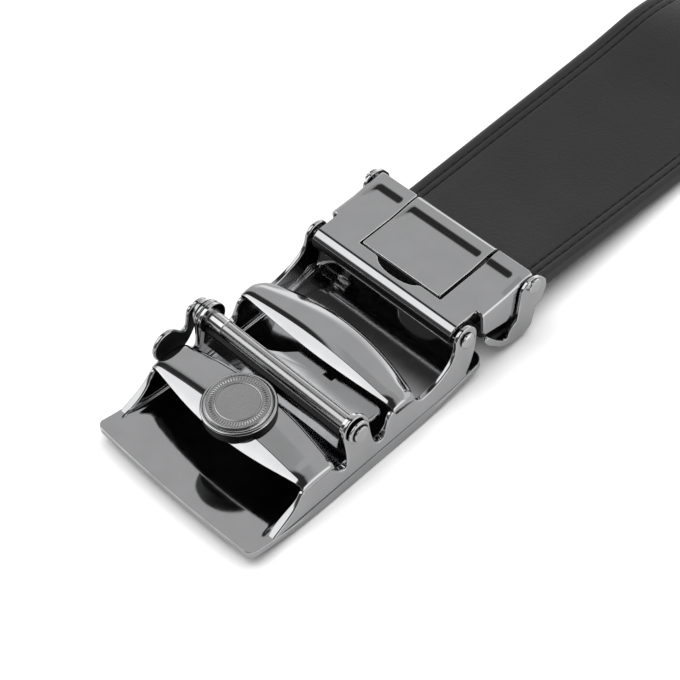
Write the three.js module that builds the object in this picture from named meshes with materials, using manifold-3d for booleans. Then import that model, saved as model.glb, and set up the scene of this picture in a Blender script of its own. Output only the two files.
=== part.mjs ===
import * as THREE from "three";
import { mergeVertices } from "three/addons/utils/BufferGeometryUtils.js";
import Module from "manifold-3d";

// Ratchet belt lying face down: cast buckle frame, ratchet, strap clamp and the strap end held in it.
// Millimetres, +Z up, X along the belt with the buckle's open end at -X, floor at z = 0.

const wasm = await Module();
wasm.setup();

const GAP = 0.3; // space between a piece and its neighbour

// Strap
const STRAP_WIDTH = 35.5;
const STRAP_THICK = 3.3;
const STRAP_LENGTH = 128;
const STRAP_LAY = 14; // length of the end that lies flat on the floor
const STRAP_TIP = 6; // length over which the end rounds off
const STRAP_TWIST = 0.0557; // rise of its +Y edge over the middle, per mm along the free strap
const STRAP_FALL = 0.027; // fall of its middle per mm
const EDGE_ROUND = 1.2;
const STRAP_CLEAR = 0.75; // side play of the strap between the buckle's walls
const STRAP_SET = 2.3; // from the plate to the strap's end in the clamp

// Buckle frame
const PLATE_LENGTH = 59.4;
const PLATE_THICK = 1.5;
const PLATE_FLAT = 5; // half length of the flat middle that rests on the floor
const PLATE_RISE = 3.2; // how far the ends stand off the floor
const PLATE_CORNER = 1.8;
const PLATE_LEDGE = 0.3; // how far the plate stands out past the walls
const END_BOW = 0.7; // how far each end edge swells in plan
const WALL_THICK = 1.7;
const WALL_LEAN = 0.085; // inward lean of the outer face per mm of height
const WALL_SETBACK = 5.1; // from the plate's front end to where the walls start
const FOOT_Z = 5;
const NOTCH_Z = 6.7; // low points of the walls' top edge beside the bridges
const VALLEY_Z = 5.4; // low point between the rod lobe and the rear bridge
const BRIDGE_THICK = 1.6;
const BRIDGE_Z = 9.8; // top of the front bridge where it meets the walls
const BRIDGE_ARCH = 1;
const BRIDGE_ROUND = 2.4; // how far in from each end the bridges round off
const REAR_RAISE = 0.9; // how much higher the rear bridge's front ridge stands
const COIN_INSET = 17.95; // medallion's centre from the plate's front end
const FRONT_WIDTH = 7.3; // front bridge at the walls
const FRONT_SWELL = [2.2, 2.3]; // how far its front and rear edges move out at mid width
const REAR_WIDTH = 5.2;
const REAR_SWELL = [0.9, 3.5];
const ROD_TO_REAR = 8.6; // from the ratchet rod to the rear bridge's front edge

// Medallion on its boss
const COIN_RADIUS = 6.4;
const COIN_RIM = 0.65;
const COIN_THICK = 1.2;
const COIN_SINK = 0.12; // depth of the face below the rim
const BOSS_LIP = 0.3; // how far the boss stands out past the medallion
const BOSS_HEIGHT = 1.4;

// Ratchet
const ROD_Z = 12.5;
const ROD_RADIUS = 1.45;
const NECK_RADIUS = 1.15;
const HEAD_RADIUS = 1.9;
const COLLAR_RADIUS = 2.35;
const DISC_RADIUS = 3.1;
const COLLAR_THICK = 0.7;
const RING_RADIUS = 2.6;
const RING_THICK = 0.28;
const LOBE_RADIUS = 3;
const PAWL_THICK = 0.85;
const PAWL_CLEAR = 0.4; // from the collars to the pawl's ends
const TONGUE_CLEAR = 1.6; // from the pawl's tongue to the rear bridge
const LEVER_THICK = 1;
const LEVER_REACH = 8.3; // from the rod to the middle of the finger pad
const LEVER_DROP = 3.3;
const PAD_RADIUS = 3.4;
const HUB_RADIUS = 2.1;

// Hinge between buckle and clamp
const EAR_INSET = 4.1; // hinge axis from the plate's rear end
const EAR_Z = 12;
const EAR_RADIUS = 2.7;
const EAR_PIN = 1.1;
const EAR_HEAD = 1.6;

// Clamp
const CLAMP_LENGTH = 16.8; // from the hinge to the rear rod
const ROLL_RADIUS = 2.5; // front edge of the lid, rolled round the ear pins
const ROLL_CLEAR = 0.9;
const LID_THICK = 0.95;
const LID_CLEAR = 0.7; // side play of the strap in the lid
const LID_CORNER = 1.3;
const LID_SKIRT = 5.6; // height of the lid's side flanges in front
const LID_SWEEP = 0.85; // rise of the lid at its rear edge
const SHOULDER_CLEAR = 1.9; // from the ears to where the lid widens
const FLAP_STRIP = 2.6; // lid left between the hinge and the flap
const FLAP_WIDTH = 19.6;
const FLAP_OFFSET = -0.6;
const FLAP_THICK = 1;
const FLAP_ROD = 1;
const FLAP_ROD_HEAD = 1.5;
const FLAP_ROD_DEPTH = 1.3; // rod's axis below the lid's level top
const NOTCH_WIDTH = 10.4; // finger notch in front of the flap
const NOTCH_DEPTH = 1.9;
const BASE_WALL = 0.65;
const BASE_PLATE = 1;
const BASE_FLOOR = 4.1; // top of the base plate under the strap
const BASE_LOW = 1.5; // lowest edge of the base's flanges
const BASE_REAR = 3.7; // how far the flanges reach behind the rear rod
const BASE_CROWN = 1.9; // how far they reach above it
const BASE_TIP = 1.1; // from the ears to the tips of the flanges' arms

// Sizes that follow
const WALL_INSIDE = STRAP_WIDTH / 2 + STRAP_CLEAR;
const WALL_FOOT = WALL_INSIDE + WALL_THICK;
const PLATE_HALF = WALL_FOOT + PLATE_LEDGE;
const PASSAGE_TOP = BRIDGE_Z - BRIDGE_THICK;
const COIN_X = COIN_INSET - PLATE_LENGTH / 2;
const BOSS_RADIUS = COIN_RADIUS + BOSS_LIP;
const BOSS_TOP = BRIDGE_Z + BOSS_HEIGHT;
const PAWL_INNER = ROD_RADIUS + GAP;
const PAWL_OUTER = PAWL_INNER + PAWL_THICK;
const ROD_X = COIN_X + BOSS_RADIUS + 1.5 * GAP + PAWL_OUTER;
const FRONT_BRIDGE = [COIN_X - FRONT_WIDTH / 2, COIN_X + FRONT_WIDTH / 2];
const REAR_BRIDGE = [ROD_X + ROD_TO_REAR, ROD_X + ROD_TO_REAR + REAR_WIDTH];
const EAR_X = PLATE_LENGTH / 2 - EAR_INSET;
const LID_TOP = EAR_Z + ROLL_RADIUS;
const ROLL_HALF = WALL_INSIDE - ROLL_CLEAR;
const LID_HALF = STRAP_WIDTH / 2 + LID_CLEAR + LID_THICK;
const LID_SHOULDER = EAR_X + EAR_RADIUS + SHOULDER_CLEAR;
const FLAP_ROD_X = EAR_X + CLAMP_LENGTH;
const FLAP_ROD_Z = LID_TOP - FLAP_ROD_DEPTH;
const LID_END = FLAP_ROD_X + FLAP_ROD;
const FLAP_FRONT = EAR_X + FLAP_STRIP;
const FLAP_SIDES = [FLAP_OFFSET - FLAP_WIDTH / 2, FLAP_OFFSET + FLAP_WIDTH / 2];
const BASE_INSIDE = LID_HALF + GAP;
const BASE_OUTSIDE = BASE_INSIDE + BASE_WALL;
const STRAP_START = PLATE_LENGTH / 2 + STRAP_SET;
const STRAP_END = STRAP_START + STRAP_LENGTH;

const TAU = Math.PI * 2;

// A closed geometry as a solid that can be cut and joined.
function solid(geometry) {
  const bare = geometry.index ? geometry.toNonIndexed() : geometry.clone();
  bare.deleteAttribute("normal");
  bare.deleteAttribute("uv");
  const merged = mergeVertices(bare, 1e-4);
  return new wasm.Manifold(
    new wasm.Mesh({
      numProp: 3,
      vertProperties: merged.attributes.position.array,
      triVerts: new Uint32Array(merged.index.array),
    }),
  );
}

// Each vertex moved by move(v), which changes the vector it is given.
function warp(geometry, move) {
  const spots = geometry.getAttribute("position");
  const v = new THREE.Vector3();
  for (let i = 0; i < spots.count; i++) {
    move(v.fromBufferAttribute(spots, i));
    spots.setXYZ(i, v.x, v.y, v.z);
  }
  return geometry;
}

const shapeOf = (points) => new THREE.Shape(points.map(([x, y]) => new THREE.Vector2(x, y)));

// An outline in x and z, drawn out along Y from y0 to y1.
function acrossGeometry(outline, y0, y1, curveSegments = 16) {
  const shape = outline instanceof THREE.Shape ? outline : shapeOf(outline);
  return new THREE.ExtrudeGeometry(shape, { depth: y1 - y0, bevelEnabled: false, curveSegments })
    .rotateX(Math.PI / 2)
    .translate(0, y1, 0);
}
const across = (outline, y0, y1, curveSegments) => solid(acrossGeometry(outline, y0, y1, curveSegments));

const drum = (radius, y0, y1, x, z, sides = 32) =>
  solid(new THREE.CylinderGeometry(radius, radius, y1 - y0, sides).translate(x, (y0 + y1) / 2, z));

const block = (x0, x1, y0, y1, z0, z1) =>
  solid(
    new THREE.BoxGeometry(x1 - x0, y1 - y0, z1 - z0).translate((x0 + x1) / 2, (y0 + y1) / 2, (z0 + z1) / 2),
  );

// A turned piece about an axis along Y: the profile gives [radius, y] from end to end.
const turned = (profile, x, z, sides = 32) =>
  solid(new THREE.LatheGeometry(profile.map(([r, y]) => new THREE.Vector2(r, y)), sides).translate(x, 0, z));

// A turned piece standing upright at x: the profile gives [radius, z] from its foot to its top.
const standing = (profile, x, sides = 48) =>
  solid(
    new THREE.LatheGeometry(profile.map(([r, z]) => new THREE.Vector2(r, z)), sides)
      .rotateX(Math.PI / 2)
      .translate(x, 0, 0),
  );

// Rings of equal length joined one after another, first and last closed by a fan.
function loft(rings) {
  const n = rings[0].length;
  const points = rings.flat();
  const faces = [];
  for (let i = 0; i + 1 < rings.length; i++)
    for (let j = 0; j < n; j++) {
      const a = i * n + j;
      const b = i * n + ((j + 1) % n);
      faces.push(a, b, b + n, a, b + n, a + n);
    }
  for (const start of [0, (rings.length - 1) * n]) {
    const middle = points.push(
      points
        .slice(start, start + n)
        .reduce((sum, p) => sum.add(p), new THREE.Vector3())
        .divideScalar(n),
    ) - 1;
    for (let j = 0; j < n; j++) {
      const a = start + j;
      const b = start + ((j + 1) % n);
      faces.push(...(start ? [a, b, middle] : [b, a, middle]));
    }
  }
  const volume = faces.reduce(
    (sum, f, i) => (i % 3 ? sum : sum + points[f].dot(points[faces[i + 1]].clone().cross(points[faces[i + 2]]))),
    0,
  );
  if (volume < 0) faces.reverse();
  return solid(new THREE.BufferGeometry().setFromPoints(points).setIndex(faces));
}

// Point at the given shares of the step from one point to another.
const between = ([x0, z0], [x1, z1], shareX, shareZ) => [x0 + shareX * (x1 - x0), z0 + shareZ * (z1 - z0)];

// A curve from one point to another, its two control points at shares of the step in x and in z.
function bend(shape, from, to, first, second) {
  shape.bezierCurveTo(...between(from, to, ...first), ...between(from, to, ...second), ...to);
  return to;
}

const group = new THREE.Group();
function piece(name, body, colour, roughness, metalness) {
  const mesh = body.getMesh();
  const geometry = new THREE.BufferGeometry();
  geometry.setAttribute("position", new THREE.BufferAttribute(Float32Array.from(mesh.vertProperties), 3));
  geometry.setIndex(Array.from(mesh.triVerts));
  const flat = geometry.toNonIndexed();
  flat.computeVertexNormals();
  const made = new THREE.Mesh(flat, new THREE.MeshStandardMaterial({ color: colour, roughness, metalness }));
  made.name = name;
  group.add(made);
}
const METAL = 0x8d8f92;
const DARK_METAL = 0x6f7174;
const LEATHER = 0x1b1b1c;

// Height of the plate's underside: flat in the middle, then an arc up to each end.
const reach = PLATE_LENGTH / 2 - PLATE_FLAT;
const bowRadius = (reach * reach + PLATE_RISE * PLATE_RISE) / (2 * PLATE_RISE);
const underside = (x) => {
  const out = Math.max(0, Math.abs(x) - PLATE_FLAT);
  return bowRadius - Math.sqrt(bowRadius * bowRadius - out * out);
};

const plateTop = (x) => underside(x) + PLATE_THICK;
const wallOutside = (z) => WALL_FOOT - WALL_LEAN * (z - FOOT_Z);

// Outline of a side wall: front slope, bridge seats with a notch beside each, rod lobe and hinge ear.
function wallOutline() {
  const seat = PASSAGE_TOP + 0.1;
  const start = [WALL_SETBACK - PLATE_LENGTH / 2, 0];
  start[1] = plateTop(start[0]) - PLATE_THICK / 2;
  const shape = new THREE.Shape().moveTo(...start);
  bend(shape, start, [FRONT_BRIDGE[0] - 0.3, seat], [0.4, 0.34], [0.7, 0.4]);
  const behind = [FRONT_BRIDGE[1] - 0.6, seat];
  shape.lineTo(...behind);
  const lobeFront = [ROD_X - LOBE_RADIUS, ROD_Z];
  const notch = bend(shape, behind, [behind[0] + 0.43 * (lobeFront[0] - behind[0]), NOTCH_Z], [0.2, 0.7], [0.45, 1]);
  bend(shape, notch, lobeFront, [0.7, 0.02], [1, 0.45]);
  shape.absarc(ROD_X, ROD_Z, LOBE_RADIUS, Math.PI, 0, true);
  const lobeRear = [ROD_X + LOBE_RADIUS, ROD_Z];
  const rearSeat = [REAR_BRIDGE[0] + 0.2, seat];
  const valley = bend(shape, lobeRear, [lobeRear[0] + 0.34 * (rearSeat[0] - lobeRear[0]), VALLEY_Z], [0, 0.56], [0.3, 0.94]);
  bend(shape, valley, rearSeat, [0.38, -0.05], [0.66, 0.3]);
  const rearEnd = [REAR_BRIDGE[1], seat];
  shape.lineTo(...rearEnd);
  const earFront = [EAR_X - EAR_RADIUS, EAR_Z];
  const dip = bend(shape, rearEnd, [rearEnd[0] + 0.17 * (earFront[0] - rearEnd[0]), NOTCH_Z], [0.3, 0.6], [0.6, 1]);
  bend(shape, dip, earFront, [0.5, 0.04], [0.96, 0.42]);
  shape.absarc(EAR_X, EAR_Z, EAR_RADIUS, Math.PI, -Math.PI * 0.1, true);
  const earRear = [EAR_X + EAR_RADIUS * Math.cos(Math.PI * 0.1), EAR_Z - EAR_RADIUS * Math.sin(Math.PI * 0.1)];
  const foot = [EAR_X - 1, plateTop(EAR_X - 1) + 0.4];
  bend(shape, earRear, foot, [0.1, 0.4], [0.65, 0.85]);
  for (let i = 0; i <= 6; i++) {
    const x = EAR_X - 0.6 + (i / 6) * (start[0] - EAR_X + 0.6) * 0.93;
    shape.lineTo(x, underside(x) + PLATE_THICK / 2);
  }
  return shape;
}

// Height profile of a bridge from front to rear edge: share of the width, share of the thickness
// from underside to top, and how much of the rear's lower level the point takes.
const BRIDGE_SECTION = [
  [0.03, 0, 0],
  [0, 0.18, 0],
  [0, 0.36, 0],
  [0.22, 0.92, 0],
  [0.31, 1, 0],
  [0.7, 0.98, 0.8],
  [0.93, 0.72, 1],
  [1, 0.3, 1],
  [0.97, 0, 1],
];

function bridge([front, rear], [frontSwell, rearSwell], top, fall) {
  const outer = wallOutside(BRIDGE_Z) - 0.1;
  const rings = [];
  for (let i = 0; i <= 28; i++) {
    const y = -outer * Math.cos((Math.PI * i) / 28);
    const lens = 1 - (y / outer) ** 2;
    const turn = Math.max(0, (Math.abs(y) - (outer - BRIDGE_ROUND)) / BRIDGE_ROUND);
    const crown = top + BRIDGE_ARCH * lens - 0.7 * BRIDGE_THICK * (1 - Math.sqrt(Math.max(0, 1 - turn * turn)));
    const low = Math.min(PASSAGE_TOP + BRIDGE_ARCH * lens, crown - BRIDGE_THICK / 2);
    const x0 = front - frontSwell * lens;
    const x1 = rear + rearSwell * lens;
    rings.push(
      BRIDGE_SECTION.map(([u, v, w]) => {
        const height = crown - fall * w - low;
        return new THREE.Vector3(x0 + u * (x1 - x0), y, low + v * height);
      }),
    );
  }
  return loft(rings);
}

function buckleFrame() {
  const stations = Array.from({ length: 33 }, (_, i) => (i / 32 - 0.5) * (PLATE_LENGTH + 4));
  stations.push(-PLATE_FLAT, PLATE_FLAT);
  stations.sort((a, b) => a - b);
  const profile = [
    ...stations.map((x) => [x, underside(x)]),
    ...stations.toReversed().map((x) => [x, plateTop(x)]),
  ];
  const end = PLATE_LENGTH / 2 - END_BOW;
  const plan = new THREE.Shape()
    .moveTo(-end + PLATE_CORNER, -PLATE_HALF)
    .lineTo(end - PLATE_CORNER, -PLATE_HALF)
    .quadraticCurveTo(end, -PLATE_HALF, end, -PLATE_HALF + PLATE_CORNER)
    .quadraticCurveTo(end + 2 * END_BOW, 0, end, PLATE_HALF - PLATE_CORNER)
    .quadraticCurveTo(end, PLATE_HALF, end - PLATE_CORNER, PLATE_HALF)
    .lineTo(-end + PLATE_CORNER, PLATE_HALF)
    .quadraticCurveTo(-end, PLATE_HALF, -end, PLATE_HALF - PLATE_CORNER)
    .quadraticCurveTo(-end - 2 * END_BOW, 0, -end, -PLATE_HALF + PLATE_CORNER)
    .quadraticCurveTo(-end, -PLATE_HALF, -end + PLATE_CORNER, -PLATE_HALF);
  const cutter = solid(
    new THREE.ExtrudeGeometry(plan, { depth: 30, bevelEnabled: false, curveSegments: 10 }).translate(0, 0, -5),
  );
  let body = across(profile, -PLATE_HALF - 1, PLATE_HALF + 1).intersect(cutter);
  const outline = wallOutline();
  for (const side of [-1, 1]) {
    const span = [side * WALL_INSIDE, side * WALL_FOOT].sort((a, b) => a - b);
    const sheet = acrossGeometry(outline, ...span, 10);
    warp(sheet, (v) => {
      if (Math.abs(v.y) > WALL_FOOT - 0.01) v.y = side * wallOutside(v.z);
    });
    body = body.add(solid(sheet));
  }
  body = body
    .add(bridge(FRONT_BRIDGE, FRONT_SWELL, BRIDGE_Z, 0.15))
    .add(bridge(REAR_BRIDGE, REAR_SWELL, BRIDGE_Z + REAR_RAISE, REAR_RAISE));
  const boss = standing(
    [
      [0, BRIDGE_Z - 0.4],
      [BOSS_RADIUS - 1.2, BRIDGE_Z - 0.4],
      [BOSS_RADIUS - 0.2, BRIDGE_Z + 0.3],
      [BOSS_RADIUS, BRIDGE_Z + 0.7],
      [BOSS_RADIUS, BOSS_TOP - 0.2],
      [BOSS_RADIUS - 0.2, BOSS_TOP],
      [0, BOSS_TOP],
    ],
    COIN_X,
  );
  body = body.add(boss);
  body = body.subtract(drum(NECK_RADIUS + GAP, -PLATE_HALF, PLATE_HALF, ROD_X, ROD_Z));
  return body.subtract(drum(EAR_PIN + GAP, -PLATE_HALF, PLATE_HALF, EAR_X, EAR_Z));
}
piece("buckle_frame", buckleFrame(), METAL, 0.2, 1);

// Round medallion on the boss: flat face inside a bevelled rim.
const coinLow = BOSS_TOP + GAP;
const coinTop = coinLow + COIN_THICK;
piece(
  "medallion",
  standing(
    [
      [0, coinLow],
      [COIN_RADIUS - 0.3, coinLow],
      [COIN_RADIUS, coinLow + 0.3],
      [COIN_RADIUS, coinTop - 0.35],
      [COIN_RADIUS - COIN_RIM / 2, coinTop],
      [COIN_RADIUS - COIN_RIM + 0.1, coinTop],
      [COIN_RADIUS - COIN_RIM, coinTop - COIN_SINK],
      [0, coinTop - COIN_SINK],
    ],
    COIN_X,
  ),
  METAL,
  0.35,
  1,
);

// Ratchet rod: collar and disc inside the walls, head outside the near one, rings outside the far one.
const collarOut = WALL_INSIDE - GAP;
const collarIn = collarOut - COLLAR_THICK;
const headIn = wallOutside(ROD_Z - HEAD_RADIUS) + GAP;
const ringIn = wallOutside(ROD_Z - RING_RADIUS) + GAP / 2;
const ringStep = RING_THICK + GAP / 2;
const LEVER_Y = ringIn + ringStep + RING_THICK + GAP;
const stubEnd = LEVER_Y + LEVER_THICK - 0.1;
const STUB_RADIUS = 1;
piece(
  "ratchet_rod",
  turned(
    [
      [0, -headIn - 0.8],
      [HEAD_RADIUS - 0.4, -headIn - 0.8],
      [HEAD_RADIUS, -headIn - 0.45],
      [HEAD_RADIUS, -headIn],
      [NECK_RADIUS, -headIn],
      [NECK_RADIUS, -collarOut],
      [COLLAR_RADIUS, -collarOut],
      [COLLAR_RADIUS, -collarIn],
      [ROD_RADIUS, -collarIn],
      [ROD_RADIUS, collarIn],
      [DISC_RADIUS, collarIn],
      [DISC_RADIUS, collarOut],
      [NECK_RADIUS, collarOut],
      [NECK_RADIUS, ringIn],
      [RING_RADIUS, ringIn],
      [RING_RADIUS, ringIn + RING_THICK],
      [RING_RADIUS - 0.9, ringIn + RING_THICK],
      [RING_RADIUS - 0.9, ringIn + ringStep],
      [RING_RADIUS - 0.25, ringIn + ringStep],
      [RING_RADIUS - 0.25, ringIn + ringStep + RING_THICK],
      [STUB_RADIUS, ringIn + ringStep + RING_THICK],
      [STUB_RADIUS, stubEnd],
      [0, stubEnd],
    ],
    ROD_X,
    ROD_Z,
  ),
  METAL,
  0.2,
  1,
);

// Pawl plate that cradles the rod, with a skirt in front and the tongue toward the strap's passage.
function pawl() {
  const at = (radius, degrees) => [
    ROD_X + radius * Math.cos((degrees / 360) * TAU),
    ROD_Z + radius * Math.sin((degrees / 360) * TAU),
  ];
  const arc = (radius, from, to) =>
    Array.from({ length: 13 }, (_, i) => at(radius, from + ((to - from) * i) / 12));
  // Reach is a share of the way from the rod to the tongue's tip, height a share from passage to rod.
  const tip = REAR_BRIDGE[0] - REAR_SWELL[0] - TONGUE_CLEAR;
  const spot = (reach, height) => between([ROD_X, PASSAGE_TOP], [tip, ROD_Z], reach, height);
  const rootLow = at(PAWL_OUTER, 290);
  const skirtLow = (height) => PASSAGE_TOP + height * (ROD_Z - PASSAGE_TOP);
  const outline = [
    ...arc(PAWL_INNER, 160, 330),
    spot(0.36, 0.62),
    spot(0.68, 0.34),
    spot(0.97, 0.3),
    spot(1, 0.06),
    spot(0.64, 0.1),
    [rootLow[0] + 0.4, rootLow[1] - 0.2],
    ...arc(PAWL_OUTER, 290, 237),
    [ROD_X - 0.72 * PAWL_OUTER, skirtLow(0.26)],
    [ROD_X - 0.95 * PAWL_OUTER, skirtLow(0)],
    [ROD_X - 1.22 * PAWL_OUTER, skirtLow(0.05)],
    [ROD_X - 1.04 * PAWL_OUTER, skirtLow(0.35)],
    ...arc(PAWL_OUTER, 205, 160),
  ];
  const half = collarIn - PAWL_CLEAR;
  // The tongue is cut back aslant at the lever's end and has a small notch.
  const root = ROD_X + PAWL_OUTER + 0.2;
  const plan = (points) =>
    solid(
      new THREE.ExtrudeGeometry(shapeOf(points), { depth: 2 * ROD_Z, bevelEnabled: false }).translate(0, 0, -ROD_Z / 2),
    );
  return across(outline, -half, half)
    .subtract(
      plan([
        [root, 0.4 * half],
        [tip + 1, 0.08 * half],
        [tip + 1, half + 1],
        [root, half + 1],
      ]),
    )
    .subtract(
      plan([
        [tip - 1.1, -0.42 * half],
        [tip - 1.1, -0.28 * half],
        [tip + 1, -0.28 * half],
        [tip + 1, -0.42 * half],
      ].toReversed()),
    );
}
piece("pawl", pawl(), DARK_METAL, 0.3, 1);

// Release lever outside the far wall: hub on the rod's end, curved neck, round finger pad.
function lever() {
  const pad = [ROD_X - LEVER_REACH, ROD_Z - LEVER_DROP];
  const hubTop = [ROD_X - 0.45 * HUB_RADIUS, ROD_Z + 0.85 * HUB_RADIUS];
  const hubLow = [ROD_X - 0.45 * HUB_RADIUS, ROD_Z - 0.85 * HUB_RADIUS];
  const padTop = [pad[0] + 0.35 * PAD_RADIUS, pad[1] + 0.93 * PAD_RADIUS];
  const padLow = [pad[0] + 0.35 * PAD_RADIUS, pad[1] - 0.93 * PAD_RADIUS];
  const neck = new THREE.Shape().moveTo(...hubTop);
  const nape = [ROD_X - 0.47 * LEVER_REACH, ROD_Z - 0.667 * LEVER_DROP];
  bend(neck, hubTop, nape, [0.9, -0.23], [0.66, 0.775]);
  bend(neck, nape, padTop, [0.31, -0.49], [0.53, 0.78]);
  neck.lineTo(...padLow);
  bend(neck, padLow, hubLow, [0.5, -0.1], [0.75, 0.45]);
  return across(neck, LEVER_Y, LEVER_Y + LEVER_THICK, 8)
    .add(drum(HUB_RADIUS, LEVER_Y, LEVER_Y + LEVER_THICK, ROD_X, ROD_Z, 32))
    .add(drum(PAD_RADIUS, LEVER_Y, LEVER_Y + LEVER_THICK + 0.4, ...pad, 32))
    .subtract(drum(STUB_RADIUS + GAP, LEVER_Y - 1, LEVER_Y + LEVER_THICK + 1, ROD_X, ROD_Z, 24));
}
piece("release_lever", lever(), METAL, 0.2, 1);

// Pins through the ears into the ends of the lid's roll.
const earHeadIn = wallOutside(EAR_Z - EAR_HEAD) + GAP;
for (const [name, side] of [
  ["ear_pin_near", -1],
  ["ear_pin_far", 1],
]) {
  const ends = [
    [0, ROLL_HALF - 2.6],
    [EAR_PIN, ROLL_HALF - 2.6],
    [EAR_PIN, earHeadIn],
    [EAR_HEAD, earHeadIn],
    [EAR_HEAD, earHeadIn + 0.3],
    [EAR_HEAD - 0.35, earHeadIn + 0.55],
    [0, earHeadIn + 0.55],
  ];
  const profile = side > 0 ? ends : ends.map(([r, y]) => [r, -y]).toReversed();
  piece(name, turned(profile, EAR_X, EAR_Z), METAL, 0.25, 1);
}

// Sweep of the clamp's top: level in front, rising in a shallow curve to the rear edge.
const SWEEP_FROM = LID_SHOULDER + 0.2 * (LID_END - LID_SHOULDER);
const sweep = (x) => {
  const share = Math.max(0, (x - SWEEP_FROM) / (LID_END - SWEEP_FROM));
  return LID_SWEEP * share * share;
};

function clampLid() {
  // Front edge rolled round the ear pins, with the strip of lid between the ears.
  const rollEnd = Math.PI * 1.3;
  const roll = new THREE.Shape()
    .moveTo(LID_SHOULDER + 1, LID_TOP)
    .lineTo(EAR_X, LID_TOP)
    .absarc(EAR_X, EAR_Z, ROLL_RADIUS, Math.PI / 2, rollEnd, false)
    .absarc(EAR_X, EAR_Z, ROLL_RADIUS - LID_THICK, rollEnd, Math.PI / 2, true)
    .lineTo(LID_SHOULDER + 1, LID_TOP - LID_THICK);
  // Channel section of the wide part, rounded over into the side flanges.
  const inner = LID_HALF - LID_THICK;
  const drop = LID_SKIRT + 3;
  const section = new THREE.Shape()
    .moveTo(-LID_HALF, -drop)
    .lineTo(-LID_HALF, -LID_CORNER)
    .quadraticCurveTo(-LID_HALF, 0, -LID_HALF + LID_CORNER, 0)
    .lineTo(LID_HALF - LID_CORNER, 0)
    .quadraticCurveTo(LID_HALF, 0, LID_HALF, -LID_CORNER)
    .lineTo(LID_HALF, -drop)
    .lineTo(inner, -drop)
    .lineTo(inner, -LID_THICK - 0.6)
    .quadraticCurveTo(inner, -LID_THICK, inner - 0.6, -LID_THICK)
    .lineTo(0.6 - inner, -LID_THICK)
    .quadraticCurveTo(-inner, -LID_THICK, -inner, -LID_THICK - 0.6)
    .lineTo(-inner, -drop);
  const channel = new THREE.ExtrudeGeometry(section, {
    depth: LID_END - LID_SHOULDER,
    steps: 12,
    bevelEnabled: false,
    curveSegments: 5,
  });
  warp(channel, (v) => {
    const x = LID_SHOULDER + v.z;
    v.set(x, v.x, LID_TOP + v.y + sweep(x));
  });
  const skirt = LID_TOP - LID_SKIRT;
  const side = [
    [LID_SHOULDER, skirt],
    [LID_SHOULDER + 0.62 * (LID_END - LID_SHOULDER), skirt - 1.8],
    [FLAP_ROD_X, FLAP_ROD_Z - 3.2],
    [LID_END + 1, FLAP_ROD_Z - 2],
    [LID_END + 1, LID_TOP + 5],
    [LID_SHOULDER, LID_TOP + 5],
  ];
  const notch = new THREE.Shape().absellipse(FLAP_FRONT, FLAP_OFFSET, NOTCH_DEPTH, NOTCH_WIDTH / 2, 0, TAU, false);
  return across(roll, -ROLL_HALF, ROLL_HALF, 14)
    .add(solid(channel).intersect(across(side, -LID_HALF - 1, LID_HALF + 1)))
    .subtract(
      block(FLAP_FRONT - GAP, LID_END + 1, FLAP_SIDES[0] - GAP, FLAP_SIDES[1] + GAP, LID_TOP - 3.5, LID_TOP + 3),
    )
    .subtract(
      solid(
        new THREE.ExtrudeGeometry(notch, { depth: 6, bevelEnabled: false, curveSegments: 14 }).translate(
          0,
          0,
          LID_TOP - 1.6,
        ),
      ),
    )
    .subtract(drum(FLAP_ROD + GAP, -LID_HALF - 1, LID_HALF + 1, FLAP_ROD_X, FLAP_ROD_Z, 24));
}
piece("clamp_lid", clampLid(), METAL, 0.2, 1);

// Flange of the clamp's base: shares of its length from the arm's tip, and of its height.
const FLANGE = [
  [0, 0.53],
  [0.06, 0.38],
  [0.17, 0.25],
  [0.32, 0.07],
  [0.47, 0.01],
  [0.67, 0],
  [0.76, 0.06],
  [0.81, 0.28],
  [0.84, 0.4],
  [0.92, 0.41],
  [1, 0.64],
  [0.99, 0.78],
  [0.9, 0.94],
  [0.79, 1],
  [0.69, 1],
  [0.6, 0.91],
  [0.53, 0.39],
  [0.43, 0.34],
  [0.37, 0.19],
  [0.31, 0.2],
  [0.21, 0.32],
  [0.12, 0.46],
  [0.065, 0.55],
];

// Cast base under the strap: plate between two outer flanges that carry the rear rod.
function clampBase() {
  const low = [EAR_X + EAR_RADIUS + BASE_TIP, BASE_LOW];
  const high = [FLAP_ROD_X + BASE_REAR, FLAP_ROD_Z + BASE_CROWN];
  const flange = FLANGE.map(([u, v]) => between(low, high, u, v));
  let body = block(
    low[0] + 0.24 * (high[0] - low[0]),
    low[0] + 0.79 * (high[0] - low[0]),
    -BASE_OUTSIDE,
    BASE_OUTSIDE,
    BASE_FLOOR - BASE_PLATE,
    BASE_FLOOR,
  );
  for (const [y0, y1] of [
    [-BASE_OUTSIDE, -BASE_INSIDE],
    [BASE_INSIDE, BASE_OUTSIDE],
  ])
    body = body.add(across(flange, y0, y1));
  return body.subtract(drum(FLAP_ROD + GAP, -BASE_OUTSIDE - 1, BASE_OUTSIDE + 1, FLAP_ROD_X, FLAP_ROD_Z, 24));
}
piece("clamp_base", clampBase(), METAL, 0.25, 1);

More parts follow.
